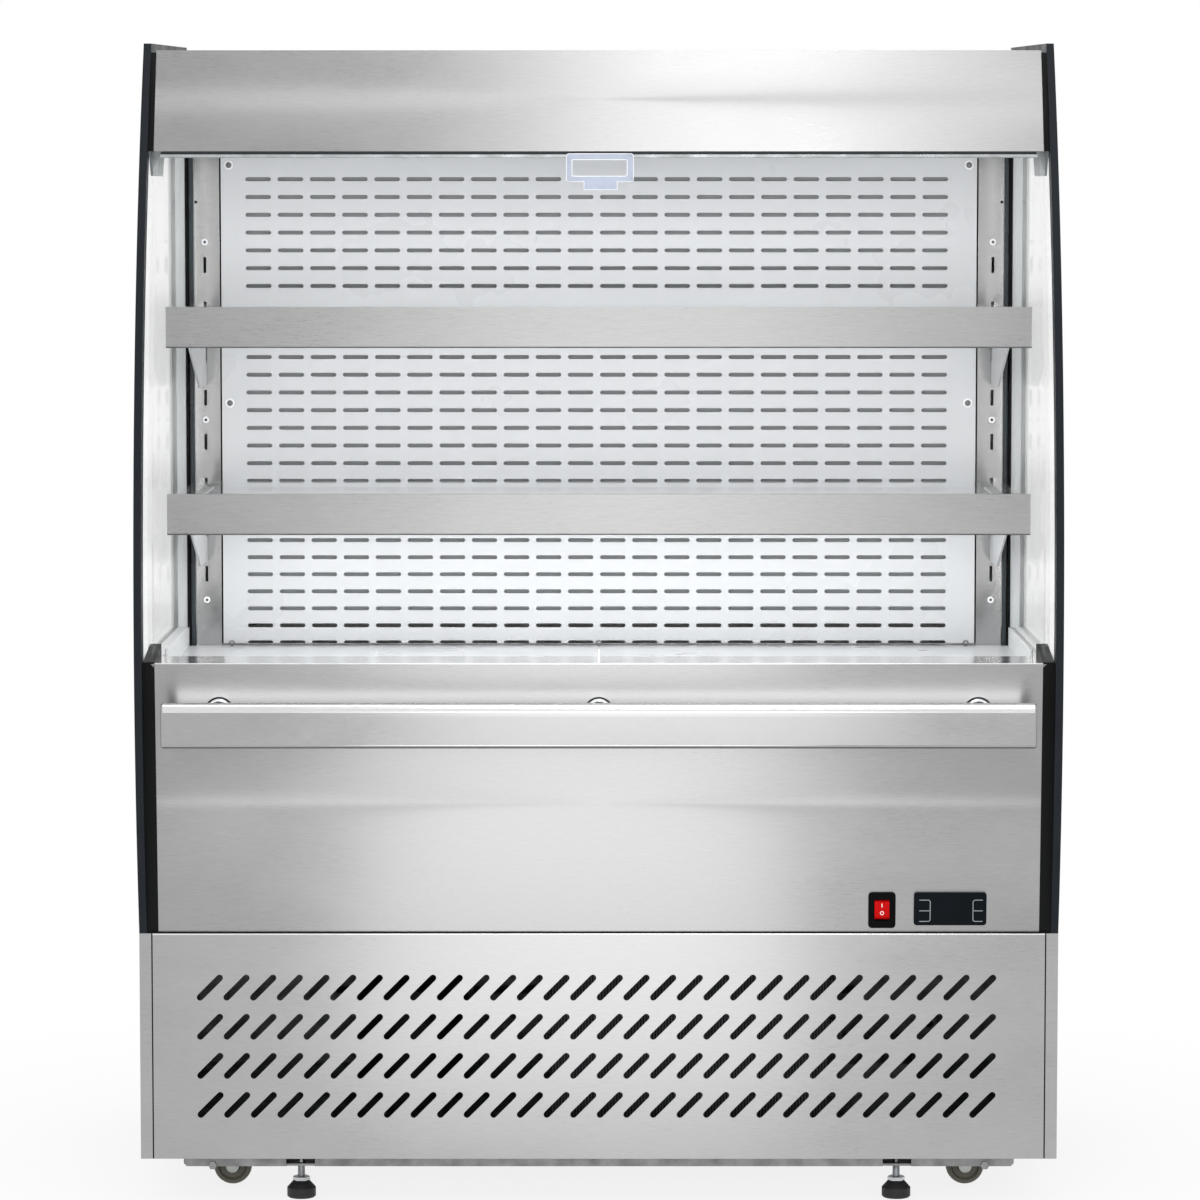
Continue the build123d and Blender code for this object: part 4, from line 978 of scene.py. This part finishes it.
def controller_face():
    """The controller's window and the two groups of lines printed beside it."""
    lowest, highest = spread_on_panel("controller")
    centre, size = middle_and_size(lowest, highest)
    front = highest.z
    window = centred([side - 2 * window_margin for side in size], window_corner, centre)
    shape = Shape().plate(window, 0.5 * MM, off_panel(front + window_proud))
    piece("controller_window", shape, "controller_black", edge=0.2 * MM)
    marks, top = Shape(), off_panel(front + window_proud + mark_lift)
    head, middle, foot = bracket_heights
    head, foot, corner = head + stroke / 2, foot - stroke / 2, bracket_corner
    upper, lower = (corner, head - corner), (corner, foot + corner)
    for spine, tip in bracket_reaches:
        turn = 1 if tip > spine else -1
        reach = abs(tip - spine)
        bracket = [(reach, head), *arc(upper, corner, 90, 180), *arc(lower, corner, 180, 270)]
        bracket += [(reach, foot), (reach, foot + stroke), *arc(lower, corner - stroke, 270, 180)]
        bracket += [*arc(upper, corner - stroke, 180, 90), (reach, head - stroke)]
        arm = rectangle(stroke / 2, reach, middle - stroke / 2, middle + stroke / 2)
        for outline, thickness in ((bracket, 0.3 * MM), (arm, 0.25 * MM)):
            spots = [(centre[0] + spine + turn * x, centre[1] + z) for x, z in outline]
            marks.plate(spots[::turn], thickness, top)
    piece("controller_marks", marks, "controller_black", material="mark_grey")


bumper_tube()
rosettes()
rail_edges()
switch_bezel()
rocker_marks()
controller_face()


# Feet and casters ------------

foot_heights = mm(14, 22, 28)  # of the cup's rim, its neck and the hexagon
hexagon_radius = 11.4 * MM
hexagon_chamfer = mm(1, 0.8)
stem_radius = 5 * MM
thread_depth = 0.7 * MM
thread_pitch = 1.5 * MM


def levelling_foot(side):
    """A rubber cup, a plated hexagon and a threaded stem."""
    name = f"foot_{side}"
    lowest, highest = box(name)
    centre, (width, _) = middle_and_size(lowest, highest)
    place, radius = level(*centre, 0), width / 2
    rim, neck, head = foot_heights
    cup = [(0, 0), (radius - 2 * MM, 0), (radius, 2 * MM), (radius, rim - 1 * MM)]
    cup += [(radius - 0.8 * MM, rim), (11.5 * MM, neck - 0.6 * MM), (10.5 * MM, neck), (0, neck)]
    piece(f"foot_cup_{side}", Shape().lathe(cup, place, 32), "foot_black", name, [name])
    inward, along = hexagon_chamfer
    inner, outer = hexagon_radius - inward, hexagon_radius
    hexagon = [(0, neck), (inner, neck), (outer, neck + along), (outer, head - along)]
    metal = Shape().lathe(hexagon + [(inner, head), (0, head)], place, 6)
    root = stem_radius - thread_depth
    thread = [(0, head)]
    for turn in range(int((highest.z - head) / thread_pitch)):
        z = head + turn * thread_pitch
        thread += [(root, z), (stem_radius, z + thread_pitch / 2)]
    thread += [(root, highest.z), (0, highest.z)]
    metal.lathe(thread, place, 16)
    piece(f"foot_stem_{side}", metal, "wire_chrome", name)


wheel_side = (  # radius in millimetres, share of half the wheel's width
    (4.2, 1.0), (8.5, 1.0), (9.5, 0.9), (10, 0.62),
    (17, 0.62), (18.5, 0.9), (19.5, 0.97), (22, 0.95),
)
tread = ((1.6, 0.8), (0.3, 0.4))  # millimetres in from the radius, the same share
nut_profile = points_mm((0, 0), (5.2, 0), (5.8, 0.6), (5.8, 2.4), (5.2, 3), (0, 3))
nut_gap = 3.5 * MM  # from the wheel's side to the nut's face


def caster(corner):
    """A moulded wheel with a rounded tread and webbed sides, and the nuts of its axle."""
    wheel, fork = f"caster_wheel_{corner}", f"caster_fork_{corner}"
    lowest, highest = box(wheel)
    x, y, z = (lowest + highest) / 2
    radius, half = (highest.z - lowest.z) / 2, (highest.y - lowest.y) / 2
    side = [(r * MM, share * half) for r, share in wheel_side]
    side += [(radius - inward * MM, share * half) for inward, share in tread]
    profile = side + [(radius, 0)] + [(r, -h) for r, h in reversed(side)]
    made = Shape().lathe(profile, facing_front(x, y, z), 40, closed=True)
    piece(f"wheel_{corner}", made, "wheel_grey", wheel, [wheel])
    reach = half + nut_gap
    nuts = Shape().lathe(nut_profile, facing_front(x, y - reach, z), 6)
    nuts.lathe(nut_profile, placed((-1, 0, 0), (0, 0, 1), (x, y + reach, z)), 6)
    piece(f"axle_nuts_{corner}", nuts, "fork_zinc", fork)


for side in ("left", "right"):
    levelling_foot(side)
for corner in ("front_left", "front_right", "rear_left", "rear_right"):
    caster(corner)
    soften(nodes[f"caster_fork_{corner}"], 0.5 * MM)


# Back of the machine bay ------------

louvre_size = mm(164, 18)
louvre_pitch = mm(200, 40)
louvre_depth = 8 * MM
louvre_tilt = radians(45)
gland = mm(480, 120)
gland_profile = points_mm((0, -10), (5.4, -10), (5.4, -1.5), (4.6, -0.7), (0, -0.7))


def louvre_blades():
    """A slanting blade inside each louvre of the rear cover."""
    lowest, highest = box("rear_cover")
    middle = (lowest.z + highest.z) / 2
    y = highest.y - louvre_depth
    tilt = (0, -sin(louvre_tilt), cos(louvre_tilt))
    shape = Shape()
    for z in spread(3, louvre_pitch[1]):
        for x in spread(4, louvre_pitch[0]):
            place = placed((-1, 0, 0), tilt, (x, y, middle + z))
            shape.plate(centred(louvre_size, 1 * MM), 0.8 * MM, place)
    piece("louvre_blades", shape, "pan_steel")


def gland_plug():
    """The blanking plug in the gland of the supply cord."""
    x, z = gland
    place = placed((-1, 0, 0), (0, 0, 1), (x, high("rear_cover").y, z))
    piece("gland_plug", Shape().lathe(gland_profile, place), "trim_black", material="rubber_and_gap_shade")


louvre_blades()
gland_plug()


# Night curtain ------------

curtain_grid = (12, 60)  # rows and columns of its mesh


def curtain():
    """The free stretch of the curtain, from the roll to the bar."""
    lowest, highest = box("curtain_cloth")
    y = (lowest.y + highest.y) / 2
    rows, columns = curtain_grid
    shape, grid = Shape(), []
    for row in range(rows + 1):
        z = lowest.z + (highest.z - lowest.z) * row / rows
        spots = [lowest.x + (highest.x - lowest.x) * k / columns for k in range(columns + 1)]
        grid.append([shape.mesh.verts.new((x, y, z)) for x in spots])
    for lower, upper in zip(grid, grid[1:]):
        for k in range(columns):
            shape.mesh.faces.new((lower[k], lower[k + 1], upper[k + 1], upper[k]))
    cloth = piece("curtain_sheet", shape, "cloth_grey", None, ["curtain_cloth"])
    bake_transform(cloth)


rail_below = 2.4 * MM  # how far the rail hangs below the CAD bar
rail_depth = 5 * MM  # its height, up to the dark strip above it
shadow_strip_inset = mm(4, 1)  # from the rail's front and its ends


def pull_rail():
    """The curtain's bar: a rounded rail, with a dark strip above it where it meets the canopy, a
    painted shadow of the gap there.
    """
    lowest, highest = box("curtain_bar")
    foot = lowest.z - rail_below
    groove = foot + rail_depth
    body = body_of["curtain_bar"]
    length = highest.x - lowest.x
    rail = rectangle(lowest.y, highest.y, foot, groove, 1.2 * MM)
    shape = Shape().plate(rail, length, along_x(highest.x))
    piece("pull_rail", shape, "bar_alu", body, ["curtain_bar"], edge=0.3 * MM)
    # Painted shadow: a dark strip stands in for the shadow in the gap between the canopy and the
    # bar.
    front, end = shadow_strip_inset
    strip = rectangle(lowest.y + front, highest.y, groove, highest.z)
    shape = Shape().plate(strip, length - 2 * end, along_x(highest.x - end))
    piece("pull_rail_shadow_strip", shape, "bar_alu", body, material="lip_grey_and_shade")


handle_span = mm(-43, 46)
handle_tab = mm(-19.9, 24.7)
handle_heights = mm(1326.4, 1336.8, 1374.5)  # of the tab's foot, foot and top
handle_window = mm(-34.7, 36.8, 1345, 1365.6)
handle_corner = 4 * MM
handle_proud = 0.8 * MM  # how far its rims stand out
handle_rim = 1 * MM


def handle_outline(inset):
    """The handle's outline, a rounded box with a tab under it, drawn in by inset."""
    spans = [(a + inset, b - inset) for a, b in (handle_span, handle_tab)]
    (left, right), (tab_left, tab_right) = spans
    tab_foot, foot, top = [z + way * inset for z, way in zip(handle_heights, (1, 1, -1))]
    rounded = rectangle(left, right, foot, top, handle_corner - inset, 4)
    tab = [(tab_left, tab_foot), (tab_right, tab_foot), (tab_right, foot)]
    return tab + rounded[5:] + rounded[:5] + [(tab_left, foot)]


def pull_handle():
    """The milky handle on the curtain's bar, with raised rims around it and its window, in a white
    that is a painted highlight along them.
    """
    lowest, highest = box("curtain_handle")
    body, proud = body_of["curtain_handle"], handle_proud
    window = rectangle(*handle_window, 0.8 * MM)
    face = facing_front(0, lowest.y + proud, 0)
    shape = Shape().plate(handle_outline(0), highest.y - lowest.y - proud, face, [window])
    piece("pull_handle", shape, "handle_clear", body, ["curtain_handle"], edge=0.4 * MM)
    sides = [side + way * handle_rim for side, way in zip(handle_window, (-1, 1, -1, 1))]
    front = facing_front(0, lowest.y, 0)
    inner = [handle_outline(handle_rim)]
    # Painted highlight: the raised rims are real, and their white stands in for light along their
    # edges.
    rims = Shape().plate(handle_outline(0.2 * MM), proud, front, inner)
    rims.plate(rectangle(*sides, 2 * MM), proud, front, [window])
    piece("handle_rim_highlights", rims, "handle_clear", body, material="rim_white_and_highlight")


curtain()
pull_rail()
pull_handle()


# Studio ------------

WHITE = (1, 1, 1, 1)
soft_level = 0.85  # what the world gives matt surfaces
floor_half = 30
floor_shade = (0.97, 0.97, 0.97, 1)
floor_fade = (0.65, 1.4, 0.82, 1.0)  # from and to this distance, from and to this white


def shows_white(tree):
    """1 for rays from the camera, a glint or glass, 0 for the rest."""
    path = tree.nodes.new("ShaderNodeLightPath")
    total = path.outputs["Is Camera Ray"]
    for ray in ("Is Glossy Ray", "Is Transmission Ray"):
        either = tree.nodes.new("ShaderNodeMath")
        either.operation = "MAXIMUM"
        tree.links.new(total, either.inputs[0])
        tree.links.new(path.outputs[ray], either.inputs[1])
        total = either.outputs[0]
    return total


def world():
    """White wherever the camera, metal or glass looks past the object."""
    made = bpy.data.worlds.new("studio")
    made.use_nodes = True
    tree = made.node_tree
    soft, white = tree.nodes["Background"], tree.nodes.new("ShaderNodeBackground")
    for shader, strength in ((soft, soft_level), (white, 1.0)):
        shader.inputs["Color"].default_value = WHITE
        shader.inputs["Strength"].default_value = strength
    mix = tree.nodes.new("ShaderNodeMixShader")
    tree.links.new(shows_white(tree), mix.inputs["Fac"])
    tree.links.new(soft.outputs[0], mix.inputs[1])
    tree.links.new(white.outputs[0], mix.inputs[2])
    tree.links.new(mix.outputs[0], tree.nodes["World Output"].inputs["Surface"])
    bpy.context.scene.world = made


def floor():
    """A white floor that keeps the object's shadow and fades into the background."""
    shape = bmesh.new()
    bmesh.ops.create_grid(shape, x_segments=1, y_segments=1, size=floor_half)
    made = as_object("floor", shape)
    matt = Finish("floor", floor_shade, 0.9, Specular_IOR_Level=0.0)
    glow = matt.add("Emission", {"Strength": 1.0})
    away = matt.add("VectorMath", operation="LENGTH")
    matt.link(matt.place, away.inputs[0])
    faded = matt.ranged(away.outputs["Value"], *floor_fade)
    seen = shows_white(matt.tree)
    mix = matt.add("MixShader")
    matt.link(matt.combine("MULTIPLY", faded, seen), mix.inputs["Fac"])
    matt.link(matt.shader.outputs[0], mix.inputs[1])
    matt.link(glow.outputs[0], mix.inputs[2])
    matt.link(mix.outputs[0], matt.tree.nodes["Material Output"].inputs["Surface"])
    made.data.materials.append(matt.material)


lamp_y, lamp_z = (low("lamp").y + high("lamp").y) / 2, low("lamp").z - 2 * MM
lights = (  # name, place, aim, size, watts, what it doesn't light
    ("softbox_front", (0.1, -5.0, 1.3), (0.1, 0, 1.3), (1.05, 2.5), 12, "diffuse"),
    ("softbox_top", (0.35, -4.0, 4.9), (0, -0.2, 1.45), (0.9, 2.0), 36, "diffuse"),
    ("softbox_low", (-0.04, -2.0, 0.01), (-0.04, -2.0, 2), (0.7, 1.8), 9.5, "diffuse"),
    ("strip_top", (0, -1.5, 4.6), (0, -0.35, 0.64), (4.0, 0.7), 26, "diffuse"),
    ("behind_bar", (0, -0.374, 0.662), (0, 0, 0.662), (1.1, 0.014), 0.15, "diffuse"),
    ("well", (0, 0, 0.9), (0, 0, 0), (1.05, 0.25), 1.3, "glossy"),
    ("fill", (0, -3.4, 0.95), (0, 0.2, 0.85), (1.6, 0.9), 38, "glossy"),
    ("case_lamp", (0, lamp_y, lamp_z), (0, lamp_y, 0), (1.06, 0.03), 1.6, None),
)


def area_light(name, place, aim, size, watts, unlit):
    """A rectangle of light that the camera doesn't see."""
    lamp = bpy.data.lights.new(name, "AREA")
    lamp.shape = "RECTANGLE"
    lamp.size, lamp.size_y = size
    lamp.energy = watts
    made = in_scene(name, lamp)
    made.location = place
    made.rotation_euler = (Vector(aim) - Vector(place)).to_track_quat("-Z", "Y").to_euler()
    for ray in ("camera", unlit) if unlit else ("camera",):
        setattr(made, "visible_" + ray, False)


camera_place = (0.0016, -6.628, 1.320)
camera_pitch = radians(85.255)  # 90 degrees would be level
camera_lens = 146.4  # in millimetres, on a sensor 36 wide


def camera():
    """The camera that the photo's view is seen from."""
    lens = bpy.data.cameras.new("camera")
    lens.lens = camera_lens
    lens.sensor_width = 36.0
    made = in_scene("camera", lens)
    made.location = camera_place
    made.rotation_euler = (camera_pitch, 0, 0)
    bpy.context.scene.camera = made


world()
floor()
for light in lights:
    area_light(*light)
camera()

bpy.context.scene.view_settings.view_transform = "Standard"
